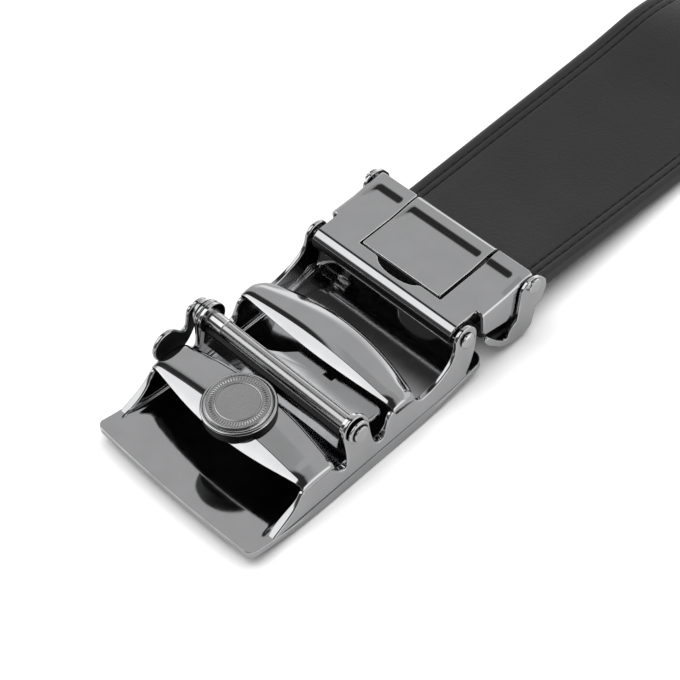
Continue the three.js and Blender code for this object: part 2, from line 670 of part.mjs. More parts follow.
// Latch flap set in the lid, its rear edge rolled round the rod.
function latchFlap() {
  const plate = warp(
    new THREE.BoxGeometry(FLAP_ROD_X - FLAP_FRONT, FLAP_WIDTH, FLAP_THICK, 10, 1, 1).translate(
      (FLAP_ROD_X + FLAP_FRONT) / 2,
      FLAP_OFFSET,
      LID_TOP - FLAP_THICK / 2,
    ),
    (v) => v.setZ(v.z + sweep(v.x)),
  );
  const knuckle = LID_TOP + sweep(FLAP_ROD_X) - FLAP_ROD_Z;
  return solid(plate)
    .add(drum(knuckle, ...FLAP_SIDES, FLAP_ROD_X, FLAP_ROD_Z, 40))
    .subtract(drum(FLAP_ROD + GAP, -FLAP_WIDTH, FLAP_WIDTH, FLAP_ROD_X, FLAP_ROD_Z, 24));
}
piece("latch_flap", latchFlap(), METAL, 0.2, 1);

// Rod through flap, lid and base, headed at both ends.
const rodHeadIn = BASE_OUTSIDE + GAP;
piece(
  "flap_rod",
  turned(
    [
      [0, -rodHeadIn - 0.5],
      [FLAP_ROD_HEAD - 0.3, -rodHeadIn - 0.5],
      [FLAP_ROD_HEAD, -rodHeadIn - 0.3],
      [FLAP_ROD_HEAD, -rodHeadIn],
      [FLAP_ROD, -rodHeadIn],
      [FLAP_ROD, rodHeadIn],
      [FLAP_ROD_HEAD, rodHeadIn],
      [FLAP_ROD_HEAD, rodHeadIn + 0.3],
      [FLAP_ROD_HEAD - 0.3, rodHeadIn + 0.5],
      [0, rodHeadIn + 0.5],
    ],
    FLAP_ROD_X,
    FLAP_ROD_Z,
    24,
  ),
  METAL,
  0.25,
  1,
);

// Leather strap: leaves the clamp level, twists as it sinks to the floor, then lies flat.
function strap() {
  const smooth = (t) => t * t * (3 - 2 * t);
  const half = STRAP_WIDTH / 2;
  const clampEnd = FLAP_ROD_X + BASE_REAR;
  const layStart = STRAP_END - STRAP_LAY;
  const settleFrom = clampEnd + 0.66 * (layStart - clampEnd);
  const rest = BASE_FLOOR + GAP + STRAP_THICK / 2;
  const rings = [];
  const steps = 44;
  for (let i = 0; i <= steps; i++) {
    const x = STRAP_START + (STRAP_LENGTH * i) / steps;
    const tip = Math.max(0, (x - (STRAP_END - STRAP_TIP)) / STRAP_TIP);
    const wide = half - 0.85 * STRAP_TIP * (1 - Math.sqrt(Math.max(0, 1 - tip * tip)));
    const settle = smooth(Math.min(1, Math.max(0, (x - settleFrom) / (layStart - settleFrom))));
    const free = Math.max(0, x - clampEnd);
    // The slope across the strap is positive where its +Y edge stands higher.
    const tilt = Math.atan((Math.max(0, free - BASE_REAR) * STRAP_TWIST * (1 - settle)) / half);
    const edgeLow = half * Math.sin(tilt) + (STRAP_THICK / 2) * Math.cos(tilt);
    const middle = Math.max(edgeLow, (rest - STRAP_FALL * free) * (1 - settle) + edgeLow * settle);
    const ring = [];
    const corners = [
      [1, 1],
      [-1, 1],
      [-1, -1],
      [1, -1],
    ];
    corners.forEach(([sy, sz], quarter) => {
      for (let k = 0; k <= 3; k++) {
        const angle = (quarter + k / 3) * (Math.PI / 2);
        const y = sy * (wide - EDGE_ROUND) + EDGE_ROUND * Math.cos(angle);
        const z = sz * (STRAP_THICK / 2 - EDGE_ROUND) + EDGE_ROUND * Math.sin(angle);
        ring.push(
          new THREE.Vector3(
            x,
            y * Math.cos(tilt) - z * Math.sin(tilt),
            middle + y * Math.sin(tilt) + z * Math.cos(tilt),
          ),
        );
      }
    });
    rings.push(ring);
  }
  return loft(rings);
}
piece("strap", strap(), LEATHER, 0.6, 0);

export default group;
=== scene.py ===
import bpy
import numpy as np
from mathutils import Matrix, Vector
from mathutils.geometry import delaunay_2d_cdt


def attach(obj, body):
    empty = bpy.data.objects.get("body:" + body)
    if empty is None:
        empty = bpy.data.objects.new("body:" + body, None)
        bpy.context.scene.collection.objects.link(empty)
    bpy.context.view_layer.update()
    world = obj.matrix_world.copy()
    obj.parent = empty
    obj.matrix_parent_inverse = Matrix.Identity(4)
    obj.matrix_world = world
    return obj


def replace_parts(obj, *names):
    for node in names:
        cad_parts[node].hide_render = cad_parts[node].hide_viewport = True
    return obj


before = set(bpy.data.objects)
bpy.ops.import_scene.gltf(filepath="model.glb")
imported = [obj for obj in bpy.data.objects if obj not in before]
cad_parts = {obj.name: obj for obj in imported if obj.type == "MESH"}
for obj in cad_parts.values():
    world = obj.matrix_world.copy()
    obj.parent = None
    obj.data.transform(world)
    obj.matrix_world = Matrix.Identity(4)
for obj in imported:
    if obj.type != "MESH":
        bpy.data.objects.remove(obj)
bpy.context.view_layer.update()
scene = bpy.context.scene
RIGHT_ANGLE = np.pi / 2

# Camera: a short telephoto in front of the buckle's open end, looking down on its back
# from the side away from the release lever.
azimuth, elevation, roll = np.radians([-40.11, 50.7, -5.71])
aim, distance, lens = np.array([0.014, 0.0015, 0.005]), 0.3348, 96.44
back = np.array([np.sin(azimuth) * np.cos(elevation), -np.cos(azimuth) * np.cos(elevation), np.sin(elevation)])
level = np.array([np.cos(azimuth), np.sin(azimuth), 0.0])
upward = np.cross(back, level)
camera = bpy.data.objects.new("camera", bpy.data.cameras.new("camera"))
scene.collection.objects.link(camera)
camera.data.lens, camera.data.sensor_width = lens, 36
camera.data.clip_start, camera.data.clip_end = 0.01, 20
place = np.eye(4)
place[:3, 0] = np.cos(roll) * level + np.sin(roll) * upward
place[:3, 1] = -np.sin(roll) * level + np.cos(roll) * upward
place[:3, 2] = back
place[:3, 3] = aim + distance * back
camera.matrix_world = Matrix(place.tolist())
scene.camera = camera


# Studio: grey walls, lighter low down at the rear, a large soft box up on the far side, strip lights
# low on the near side and at the far rear, and black panels overhead and in front. The polished metal
# shows them as its light and dark bands. The white paper floor is painted mid grey where the metal
# reflects it, as painted reflection shade.
def node(tree, kind, inputs=(), **settings):
    """A new node: settings are its properties, and each input is a value or another node's output."""
    made = tree.nodes.new(kind)
    for key, value in settings.items():
        setattr(made, key, value)
    for key, value in dict(inputs).items():
        if isinstance(value, bpy.types.NodeSocket):
            tree.links.new(value, made.inputs[key])
        else:
            made.inputs[key].default_value = value
    return made


def math(tree, operation, a, b=0.0):
    return node(tree, "ShaderNodeMath", {0: a, 1: b}, operation=operation).outputs[0]


def ramp(tree, value, low, high, to_low=0.0, to_high=1.0):
    """Smooth step of a value, from to_low at low to to_high at high."""
    inputs = {"Value": value, "From Min": low, "From Max": high, "To Min": to_low, "To Max": to_high}
    return node(tree, "ShaderNodeMapRange", inputs, interpolation_type="SMOOTHSTEP").outputs["Result"]


world = bpy.data.worlds.new("studio")
world.use_nodes = True
scene.world = world
sky = world.node_tree
heading = node(sky, "ShaderNodeSeparateXYZ", {0: node(sky, "ShaderNodeTexCoord").outputs["Generated"]}).outputs


def panel(light, x=(-2, 2), y=(-2, 2), z=(-2, 2), soft=0.05, over=0.6):
    """The studio's light, with a panel of the given brightness in a range of directions."""
    share = 1.0
    for axis, (low, high) in zip(heading, (x, y, z)):
        if low > -1:
            share = math(sky, "MULTIPLY", share, ramp(sky, axis, low - soft, low + soft))
        if high < 1:
            share = math(sky, "MULTIPLY", share, ramp(sky, axis, high + soft, high - soft))
    kept = math(sky, "MULTIPLY", over, math(sky, "SUBTRACT", 1.0, share))
    return math(sky, "ADD", kept, math(sky, "MULTIPLY", share, light))


studio = panel(0.95, x=(0.45, 2), z=(-2, 0.42), soft=0.1, over=0.62)
studio = panel(1.4, x=(0.62, 2), y=(0, 2), z=(0.05, 0.36), soft=0.05, over=studio)
studio = panel(0.5, x=(0.2, 0.405), y=(-0.6, 0.42), z=(0.5, 2), soft=0.01, over=studio)
studio = panel(0.04, x=(-0.06, 0.22), y=(-0.2, 2), soft=0.05, over=studio)
studio = panel(0.04, x=(-0.9, 0.22), y=(-2, 0.05), z=(0.3, 2), soft=0.08, over=studio)
studio = panel(0.08, x=(-2, -0.74), soft=0.05, over=studio)
studio = panel(1.52, x=(-0.72, -0.08), y=(0.08, 0.9), z=(0.2, 2), soft=0.03, over=studio)
studio = panel(1.5, x=(-0.2, 2), y=(-2, -0.7), z=(0.1, 0.55), soft=0.05, over=studio)
background = sky.nodes["Background"]
sky.links.new(studio, background.inputs["Color"])
background.inputs["Strength"].default_value = 1.0

overhead = bpy.data.objects.new("overhead_light", bpy.data.lights.new("overhead_light", "AREA"))
overhead.data.energy, overhead.data.size = 16, 1.2
overhead.matrix_world = Matrix.Translation((0.05, 0.0, 1.2))
overhead.visible_glossy = False
scene.collection.objects.link(overhead)

floor_mesh = bpy.data.meshes.new("floor")
floor_mesh.from_pydata([(-3, -3, 0), (3, -3, 0), (3, 3, 0), (-3, 3, 0)], [], [(0, 1, 2, 3)])
floor = bpy.data.objects.new("floor", floor_mesh)
scene.collection.objects.link(floor)
paper = bpy.data.materials.new("white_paper")
paper.use_nodes = True
# Painted reflection shade: the paper is white to the camera and mid grey where the metal reflects it.
mirrored = node(paper.node_tree, "ShaderNodeLightPath").outputs["Is Glossy Ray"]
paper_tone_with_reflection_shade = node(
    paper.node_tree,
    "ShaderNodeMix",
    {0: mirrored, 6: (0.93, 0.93, 0.93, 1), 7: (0.5, 0.5, 0.5, 1)},
    data_type="RGBA",
)
paper.node_tree.links.new(paper_tone_with_reflection_shade.outputs[2], paper.node_tree.nodes["Principled BSDF"].inputs["Base Color"])
paper.node_tree.nodes["Principled BSDF"].inputs["Roughness"].default_value = 0.9
floor_mesh.materials.append(paper)
scene.view_settings.view_transform = "Standard"


# Buckle plate: die-cast zinc alloy, bowed to lie on the belly, polished and plated black nickel.
# The walls grow out of it, with a small fillet along their inner sides.
PLATE_HALF_LENGTH, PLATE_HALF_WIDTH, PLATE_THICK = 29.7, 20.5, 1.5
PLATE_FLAT, PLATE_RISE = 5.0, 3.2
END_BOW, PLATE_CORNER, PLATE_RIM = 0.7, 1.8, 0.22
WALL_INSIDE, PLATE_FILLET = 18.5, 0.9


def unit(v):
    return v / np.linalg.norm(v, axis=-1, keepdims=True)


def smooth(value, low, high):
    """Smooth step from 0 at low to 1 at high."""
    t = np.clip((value - low) / (high - low), 0, 1)
    return t * t * (3 - 2 * t)


def quads(rows, columns, closed=True):
    """Corner numbers of the faces between neighbouring rows; closed joins the last column to the first."""
    row, column = np.meshgrid(np.arange(rows - 1), np.arange(columns - (not closed)), indexing="ij")
    a, b = row * columns + column, row * columns + (column + 1) % columns
    return np.stack([a, b, b + columns, a + columns], -1).reshape(-1, 4)


def loft(rings, raw_and_shaded=0.0):
    """Skin over closed rings with the same number of points; the first and last ring lie flat and are filled.
    The share of raw metal, unpolished and painted near black as shade, is one number, or one for each point of a ring."""
    count, length = rings.shape[:2]
    first = np.arange(length)
    ends = np.stack([first[::-1], first + (count - 1) * length])
    return rings.reshape(-1, 3), [quads(count, length), ends], np.broadcast_to(raw_and_shaded, (count, length)).ravel()


def skin(name, shape, material, body, stands_for=None):
    """A piece from points in millimetres and blocks of faces, turned outwards. Its attribute "curve" is the
    surface's bend in 1/mm, above 0 on rims and below 0 in corners: change of normal over each edge. Its
    second attribute is 1 where the metal is unpolished and painted near black, as painted shade on
    undersides and hidden faces."""
    points, faces, raw_and_shaded = shape
    volume = 0.0
    for block in faces:
        p = points[block]
        volume += np.einsum("ij,ikj->", p[:, 0], np.cross(p[:, 1:-1], p[:, 2:]))
    if volume < 0:
        faces = [block[:, ::-1] for block in faces]
    mesh = bpy.data.meshes.new(name)
    mesh.from_pydata((points * 0.001).tolist(), [], [face for block in faces for face in block.tolist()])
    mesh.shade_smooth()
    ends = np.empty(len(mesh.edges) * 2, np.int32)
    mesh.edges.foreach_get("vertices", ends)
    normals = np.empty(len(points) * 3, np.float32)
    mesh.vertex_normals.foreach_get("vector", normals)
    a, b = ends.reshape(-1, 2).T
    step, turn = points[a] - points[b], np.diff(normals.reshape(-1, 3)[np.stack([b, a], 1)], axis=1)[:, 0]
    bend = (step * turn).sum(1) / np.maximum((step**2).sum(1), 1e-4)
    total = np.bincount(a, bend, len(points)) + np.bincount(b, bend, len(points))
    uses = np.bincount(a, minlength=len(points)) + np.bincount(b, minlength=len(points))
    curve = mesh.attributes.new("curve", "FLOAT", "POINT")
    curve.data.foreach_set("value", (total / np.maximum(uses, 1)).astype(np.float32))
    raw_and_shaded_attribute = mesh.attributes.new("raw_and_shaded", "FLOAT", "POINT")
    raw_and_shaded_attribute.data.foreach_set("value", np.ascontiguousarray(raw_and_shaded, np.float32))
    mesh.materials.append(material)
    made = bpy.data.objects.new(name, mesh)
    scene.collection.objects.link(made)
    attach(made, body)
    if stands_for:
        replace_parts(made, stands_for)
    return made


def shared_nodes(name, takes, gives):
    """An empty node group with named inputs (kind and value) and outputs, and its two end nodes."""
    tree = bpy.data.node_groups.new(name, "ShaderNodeTree")
    for label, (kind, value) in takes.items():
        tree.interface.new_socket(label, in_out="INPUT", socket_type="NodeSocket" + kind).default_value = value
    for label, kind in gives.items():
        tree.interface.new_socket(label, in_out="OUTPUT", socket_type="NodeSocket" + kind)
    return tree, tree.nodes.new("NodeGroupInput").outputs, tree.nodes.new("NodeGroupOutput").inputs


# Polish on plated castings: hand-polished waves, faint hairlines, rims painted lighter as painted
# highlight and rubbed plating, and corners painted darker as painted shade and left duller where the
# wheel never reached.
polish, asked, given = shared_nodes(
    "polished_plating",
    {
        "Tone": ("Color", (0.5, 0.5, 0.5, 1)),
        "Rim highlight and rubbing": ("Color", (0.7, 0.7, 0.7, 1)),
        "Gloss": ("Float", 0.08),
        "Hairlines": ("Float", 0.3),
    },
    {"Color": "Color", "Roughness": "Float", "Height": "Float"},
)
where = node(polish, "ShaderNodeTexCoord").outputs["Object"]
cloud = node(polish, "ShaderNodeTexNoise", {"Vector": where, "Scale": 210.0, "Detail": 3.0}).outputs["Fac"]
waves = node(polish, "ShaderNodeTexNoise", {"Vector": where, "Scale": 120.0, "Detail": 1.0}).outputs["Fac"]
brushed = node(polish, "ShaderNodeMapping", {"Vector": where, "Scale": (260.0, 5200.0, 2600.0)})
hair = node(polish, "ShaderNodeTexNoise", {"Vector": brushed.outputs[0], "Scale": 1.0, "Detail": 2.0})
curved = node(polish, "ShaderNodeAttribute", attribute_name="curve").outputs["Fac"]
# Painted highlight and wear: convex rims get a lighter tone, standing in for edge highlights as well as rubbed plating.
rim_highlight_and_rubbing = math(polish, "MULTIPLY", ramp(polish, curved, 0.5, 2.6), ramp(polish, cloud, 0.3, 0.6, 0.35, 1.0))
# Painted shade: concave corners are darkened in colour below; they are also made rougher.
corner_shade_and_dullness = ramp(polish, curved, -0.3, -1.5)
tinted = node(
    polish,
    "ShaderNodeMix",
    {0: rim_highlight_and_rubbing, 6: asked["Tone"], 7: asked["Rim highlight and rubbing"]},
    data_type="RGBA",
)
raw_and_shaded = node(polish, "ShaderNodeAttribute", attribute_name="raw_and_shaded").outputs["Fac"]
shade = math(polish, "SUBTRACT", ramp(polish, cloud, 0.2, 0.8, 0.96, 1.03), math(polish, "MULTIPLY", corner_shade_and_dullness, 0.35))
# Painted shade: faces marked raw are darkened to near black and made rougher, standing in for shade on undersides and
# hidden faces.
shade = math(polish, "MULTIPLY", shade, ramp(polish, raw_and_shaded, 0.1, 0.9, 1.0, 0.06))
toned = node(polish, "ShaderNodeVectorMath", {0: tinted.outputs[2], "Scale": shade}, operation="SCALE")
polish.links.new(toned.outputs[0], given["Color"])
streak = math(polish, "MULTIPLY", ramp(polish, hair.outputs["Fac"], 0.5, 0.75), asked["Hairlines"])
grit = math(polish, "ADD", math(polish, "MULTIPLY", streak, 0.1), math(polish, "MULTIPLY", corner_shade_and_dullness, 0.25))
grit = math(polish, "ADD", grit, math(polish, "MULTIPLY", raw_and_shaded, 0.4))
varied = math(polish, "MULTIPLY", asked["Gloss"], ramp(polish, cloud, 0.25, 0.75, 0.75, 1.3))
polish.links.new(math(polish, "ADD", varied, grit), given["Roughness"])
polish.links.new(math(polish, "SUBTRACT", waves, math(polish, "MULTIPLY", streak, 0.01)), given["Height"])


def plated(name, tone, gloss, hairlines=0.3, waviness=0.00002):
    """Metal with the shared polish; waviness is the height of its waves in metres."""
    made = bpy.data.materials.new(name)
    made.use_nodes = True
    tree = made.node_tree
    metal = tree.nodes["Principled BSDF"].inputs
    # Lighter tone for the rims: painted highlight and rubbed plating.
    rim_highlight_and_rubbed_tone = [min(1.0, 1.35 * part + 0.05) for part in tone]
    coat = node(
        tree,
        "ShaderNodeGroup",
        node_tree=polish,
    )
    coat.inputs["Tone"].default_value = (*tone, 1)
    coat.inputs["Rim highlight and rubbing"].default_value = (*rim_highlight_and_rubbed_tone, 1)
    coat.inputs["Gloss"].default_value = gloss
    coat.inputs["Hairlines"].default_value = hairlines
    uneven = node(
        tree, "ShaderNodeBump", {"Height": coat.outputs["Height"], "Distance": waviness, "Strength": 1.0}
    )
    metal["Metallic"].default_value = 1.0
    tree.links.new(coat.outputs["Color"], metal["Base Color"])
    tree.links.new(coat.outputs["Roughness"], metal["Roughness"])
    tree.links.new(uneven.outputs["Normal"], metal["Normal"])
    return made


black_nickel = plated("black_nickel_polished", (0.5, 0.502, 0.51), 0.07)

reach = PLATE_HALF_LENGTH - PLATE_FLAT
bow_radius = (reach**2 + PLATE_RISE**2) / (2 * PLATE_RISE)


def underside(x):
    """Height of the plate's lower face: level in the middle, then a circle's arc up to each end."""
    out = np.maximum(0, np.abs(x) - PLATE_FLAT)
    return bow_radius - np.sqrt(bow_radius**2 - out**2)


def buckle_plate():
    """Rings at constant y. A ring follows the bow along its lower and upper face, pulled in at the plan's
    corners by a circle's arc and along each rim by a quarter circle."""
    quarter = np.linspace(0, RIGHT_ANGLE, 7)
    corner_from = PLATE_HALF_WIDTH - PLATE_CORNER
    rim_from = PLATE_HALF_WIDTH - PLATE_RIM
    side = np.r_[
        np.linspace(0, WALL_INSIDE - PLATE_FILLET, 40)[:-1],
        WALL_INSIDE - PLATE_FILLET + PLATE_FILLET * np.sin(quarter),
        np.linspace(corner_from, rim_from, 12),
        rim_from + PLATE_RIM * np.sin(quarter[1:]),
    ]
    across = np.r_[-side[:0:-1], side]
    width = np.abs(across)[:, None]
    turned_in = np.clip((width - corner_from) / PLATE_CORNER, 0, 1)
    rim = PLATE_RIM * (1 - np.sqrt(1 - np.clip((width - rim_from) / PLATE_RIM, 0, 1) ** 2))
    end = PLATE_HALF_LENGTH - END_BOW * (width / PLATE_HALF_WIDTH) ** 2
    end = end - PLATE_CORNER * (1 - np.sqrt(1 - 0.98 * turned_in**2)) - rim
    share = np.sin(np.linspace(-RIGHT_ANGLE, RIGHT_ANGLE, 141))[None]
    x = share * (end - PLATE_RIM)
    wall = smooth(x, -25.2, -22.0) * smooth(-x, -25.6, -23.4)
    into = np.clip((width - WALL_INSIDE + PLATE_FILLET) / PLATE_FILLET, 0, 1)
    fillet = PLATE_FILLET * (1 - np.sqrt(1 - 0.999 * into**2)) * wall * (width < WALL_INSIDE + 0.4)
    top = underside(x) + PLATE_THICK - rim + fillet
    low = underside(x) + rim
    out = PLATE_RIM * np.sin(quarter[1:])[None]
    down = PLATE_RIM * (1 - np.cos(quarter[1:]))[None]
    edge_x = end - PLATE_RIM + np.c_[out, out[:, ::-1]]
    edge_top = underside(end) + PLATE_THICK - rim - down
    edge_low = underside(end) + rim + down[:, ::-1]
    edge_z = np.c_[edge_top, edge_low]
    ring_x = np.c_[x, edge_x, x[:, ::-1], -edge_x[:, ::-1]]
    ring_z = np.c_[top, edge_z, low[:, ::-1], edge_z[:, ::-1]]
    return loft(np.stack([ring_x, np.broadcast_to(across[:, None], ring_x.shape), ring_z], -1))


skin("buckle_plate", buckle_plate(), black_nickel, "buckle", "buckle_frame")


# Side walls of the buckle: cast in one with the plate, each a thin leaning wall whose top edge
# rises to the front bridge, the lobe for the ratchet rod, the rear bridge and the hinge ear.
WALL_FOOT, WALL_LEAN, FOOT_Z = 20.2, 0.085, 5.0
BRIDGE_Z, BRIDGE_THICK = 9.8, 1.6
COIN_X, ROD_X, ROD_Z, LOBE_RADIUS = -11.75, -2.0, 12.5, 3.0
NOTCH_Z, VALLEY_Z, SEAT_Z = 6.7, 5.4, 8.3
FRONT_BRIDGE, REAR_BRIDGE = (-15.4, -8.1), (6.6, 11.8)
EAR_X, EAR_Z, EAR_RADIUS = 25.6, 12.0, 2.7
WALL_RIM = 0.34


def sweep_curve(start, end, first, second, steps=40):
    """Cubic curve between two points; its handles are given as shares of the step in each direction."""
    start, end = np.array(start, float), np.array(end, float)
    a, b = start + np.array(first) * (end - start), start + np.array(second) * (end - start)
    t = np.linspace(0, 1, steps)[:, None]
    return (1 - t) ** 3 * start + 3 * t * (1 - t) ** 2 * a + 3 * t**2 * (1 - t) * b + t**3 * end


def arc(x, z, radius, from_degrees, to_degrees, steps=48):
    a = np.radians(np.linspace(from_degrees, to_degrees, steps))
    return np.stack([x + radius * np.cos(a), z + radius * np.sin(a)], -1)


def even(outline, step):
    """A closed outline with its points set out again at equal steps, counter-clockwise."""
    loop = np.concatenate([outline, outline[:1]])
    gone = np.r_[0, np.cumsum(np.linalg.norm(np.diff(loop, axis=0), axis=1))]
    at = np.linspace(0, gone[-1], int(gone[-1] / step) + 1)[:-1]
    points = np.stack([np.interp(at, gone, loop[:, 0]), np.interp(at, gone, loop[:, 1])], -1)
    area = (points[:, 0] * np.roll(points[:, 1], -1) - points[:, 1] * np.roll(points[:, 0], -1)).sum()
    return points if area > 0 else points[::-1]


def inward(outline):
    along = unit(np.roll(outline, -1, 0) - np.roll(outline, 1, 0))
    return np.stack([-along[:, 1], along[:, 0]], -1)


def slab(outline, low, high, rim, place, steps=6):
    """A plate cut to an outline (u, v), from height low to height high, with rounded rims: at the angle a of
    the quarter circle a ring lies rim * (1 - cos a) inside the outline and rim * (1 - sin a) short of the
    face. One more ring close inside keeps the face's shading flat. place(u, v, height) sets it in space."""
    a = np.linspace(0, RIGHT_ANGLE, steps)
    inset = np.r_[rim * (1 - np.cos(a)), rim + 0.04]
    short = np.r_[rim * (1 - np.sin(a)), 0.0]
    rings = outline + inset[:, None, None] * inward(outline)
    u, v = rings[..., 0], rings[..., 1]
    upper = place(u, v, high(u, v) - short[:, None])
    lower = place(u, v, low(u, v) + short[:, None])
    return loft(np.concatenate([lower[::-1], upper]))


def wall_outside(z):
    return WALL_FOOT - WALL_LEAN * (z - FOOT_Z)


def wall_inside(x, z):
    """Inner face of the wall, which is 1.7 mm thick at the foot and thins to 0.95 mm above it, but comes
    no closer to the middle than WALL_INSIDE."""
    return np.maximum(WALL_INSIDE, wall_outside(z) - 0.95 - 0.75 * (1 - smooth(z, 4.2, 7.6)))


def wall_outline():
    """The wall seen from the side, (x, z), from the front foot over the top and back along the plate."""
    front = (-24.6, underside(24.6) + PLATE_THICK / 2)
    seat_front, seat_rear = (FRONT_BRIDGE[0] - 0.3, SEAT_Z), (FRONT_BRIDGE[1] - 0.6, SEAT_Z)
    lobe = (ROD_X - LOBE_RADIUS, ROD_Z)
    notch = (seat_rear[0] + 0.74 * (lobe[0] - seat_rear[0]), NOTCH_Z - 1.1)
    lobe_rear, rear_seat = (ROD_X + LOBE_RADIUS, ROD_Z), (REAR_BRIDGE[0] - 0.2, SEAT_Z + 1.2)
    valley = (lobe_rear[0] + 0.3 * (rear_seat[0] - lobe_rear[0]), VALLEY_Z - 0.2)
    rear_end, ear = (REAR_BRIDGE[1], SEAT_Z), (EAR_X - EAR_RADIUS, EAR_Z)
    dip = (rear_end[0] + 0.17 * (ear[0] - rear_end[0]), NOTCH_Z)
    ear_rear = (EAR_X + EAR_RADIUS * np.cos(np.pi * 0.1), EAR_Z - EAR_RADIUS * np.sin(np.pi * 0.1))
    foot = (EAR_X - 1, underside(EAR_X - 1) + PLATE_THICK + 0.4)
    below = np.linspace(EAR_X - 0.6, -23.0, 40)
    return np.concatenate(
        [
            sweep_curve(front, seat_front, (0.4, 0.34), (0.7, 0.4)),
            sweep_curve(seat_rear, notch, (0.25, 0.55), (0.6, 1)),
            sweep_curve(notch, lobe, (1.1, 0.02), (1, 0.3))[1:],
            arc(ROD_X, ROD_Z, LOBE_RADIUS, 180, 0)[1:-1],
            sweep_curve(lobe_rear, valley, (0, 0.6), (0.1, 1)),
            sweep_curve(valley, rear_seat, (0.54, -0.02), (0.56, 1.02))[1:],
            sweep_curve(rear_end, dip, (0.3, 0.6), (0.6, 1)),
            sweep_curve(dip, ear, (0.5, 0.04), (0.96, 0.42))[1:],
            arc(EAR_X, EAR_Z, EAR_RADIUS, 180, -18)[1:-1],
            sweep_curve(ear_rear, foot, (0.1, 0.4), (0.65, 0.85)),
            np.stack([below, underside(below) + PLATE_THICK / 2], -1),
        ]
    )


side_view = even(wall_outline(), 0.16)
for _ in range(5):  # eases the corners where two curves of the outline meet
    side_view = (np.roll(side_view, 1, 0) + side_view + np.roll(side_view, -1, 0)) / 3
for name, side in (("wall_near", -1), ("wall_far", 1)):
    wall = slab(
        side_view,
        wall_inside,
        lambda x, z: wall_outside(z),
        WALL_RIM,
        lambda x, z, depth: np.stack([x, side * depth, z], -1),
    )
    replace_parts(skin(name, wall, black_nickel, "buckle"), "buckle_frame")


# Bridges: two cast straps across the walls that hold the belt down. Each has a bright front facet,
# widest in the middle, a ridge, and a slightly crowned top that rounds down into the walls.
def filleted(corners, radius, steps=6, closed=True):
    """An outline with its corners rounded off: each becomes a parabola that starts and ends at the radius
    from the corner, or just under half a side away. Works on many outlines of equal length at once."""
    c = np.asarray(corners, float)
    to_last, to_next = np.roll(c, 1, -2) - c, np.roll(c, -1, -2) - c
    a, b = (np.linalg.norm(v, axis=-1, keepdims=True) for v in (to_last, to_next))
    reach = np.minimum(np.broadcast_to(radius, c.shape[:-1])[..., None], 0.48 * np.minimum(a, b))
    start, end = c + to_last / a * reach, c + to_next / b * reach
    t = np.linspace(0, 1, steps)[:, None]
    start, end, c = start[..., None, :], end[..., None, :], c[..., None, :]
    out = (1 - t) ** 2 * start + 2 * t * (1 - t) * c + t**2 * end
    out = out.reshape(*out.shape[:-3], -1, out.shape[-1])
    if closed:
        return out
    return np.concatenate([c[..., 0, :, :], out[..., steps:-steps, :], c[..., -1, :, :]], -2)


BRIDGE_HALF, BRIDGE_ARCH, BRIDGE_ROUND = 19.92, 1.0, 2.6


def bridge(front, rear, front_swell, rear_swell, top, facet, tilt, fall):
    """Rings at constant y. With lens = 1 - (y / half width)^2 the edges swell by their swell times lens and
    the height by the arch times lens; the ends drop by a quarter ellipse. A ring's corners are lip, ridge,
    a lead-in behind the ridge, top, rear edge and the underside, which is left raw and painted near black
    as shade. The lead-in rises towards the far half and a little at the near end. The facet between lip
    and ridge has the same tilt all along."""
    turn = np.linspace(-RIGHT_ANGLE, RIGHT_ANGLE, 141)
    y = BRIDGE_HALF * np.sin(turn)
    lens = 1 - (y / BRIDGE_HALF) ** 2
    near_end = np.clip((np.abs(y) - BRIDGE_HALF + BRIDGE_ROUND) / BRIDGE_ROUND, 0, 1)
    drop = 1.25 * (1 - np.sqrt(1 - 0.995 * near_end**2))
    ridge = top + BRIDGE_ARCH * lens - drop
    wide = facet[0] + (facet[1] - facet[0]) * lens**1.3
    lip = ridge - np.tan(np.radians(tilt)) * wide
    x0, x1 = front - front_swell * lens**1.3, rear + rear_swell * lens
    lead = 0.2 * (0.15 + 0.85 * smooth(y, -9, 7)) + 0.13 * smooth(-y, 15, 18.5)
    rest = x1 - x0 - wide
    rear_top = ridge + 1.4 * lead - fall
    low = np.minimum(BRIDGE_Z - BRIDGE_THICK + BRIDGE_ARCH * lens, np.minimum(lip - 0.4, rear_top - 0.95))
    section = [
        (x0 + 0.9, low),
        (x0 + 0.25, lip - 0.3),
        (x0, lip),
        (x0 + wide, ridge),
        (x0 + wide + 0.9, ridge + lead),
        (x0 + wide + 2.2, ridge + 1.4 * lead),
        (x0 + wide + 0.62 * rest, ridge + 1.4 * lead - 0.25 * fall),
        (x1 - 0.7, rear_top),
        (x1, rear_top - 0.55),
        (x1 - 0.3, rear_top - 0.8),
        (x1 - 0.9, low),
    ]
    corners = np.stack([np.stack(np.broadcast_arrays(x, z), -1) for x, z in section], 1)
    radius = np.array([0.2, 0.2, 0.1, 0.14, 0.5, 0.9, 2.0, 0.6, 0.12, 0.2, 0.3])
    rings = filleted(corners, radius, steps=7)
    across = np.broadcast_to(y[:, None], rings.shape[:2])
    # Painted shade: the underside's corners are marked raw, so they are painted near black.
    raw_and_shaded = np.repeat(np.array([1, 1, 0, 0, 0, 0, 0, 0, 0, 1, 1.0]), 7)
    raw_and_shaded[13] = raw_and_shaded[62] = 0.5  # half painted shade where the dark raw underside meets the plated top
    return loft(np.stack([rings[..., 0], across, rings[..., 1]], -1), raw_and_shaded)


front_bridge = bridge(*FRONT_BRIDGE, 2.2, 2.3, BRIDGE_Z - 0.12, (0.4, 3.4), 24, 0.25)
rear_bridge = bridge(*REAR_BRIDGE, 0.9, 3.5, BRIDGE_Z + 0.8, (0.3, 2.0), 28, 1.0)
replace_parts(skin("front_bridge", front_bridge, black_nickel, "buckle"), "buckle_frame")
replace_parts(skin("rear_bridge", rear_bridge, black_nickel, "buckle"), "buckle_frame")


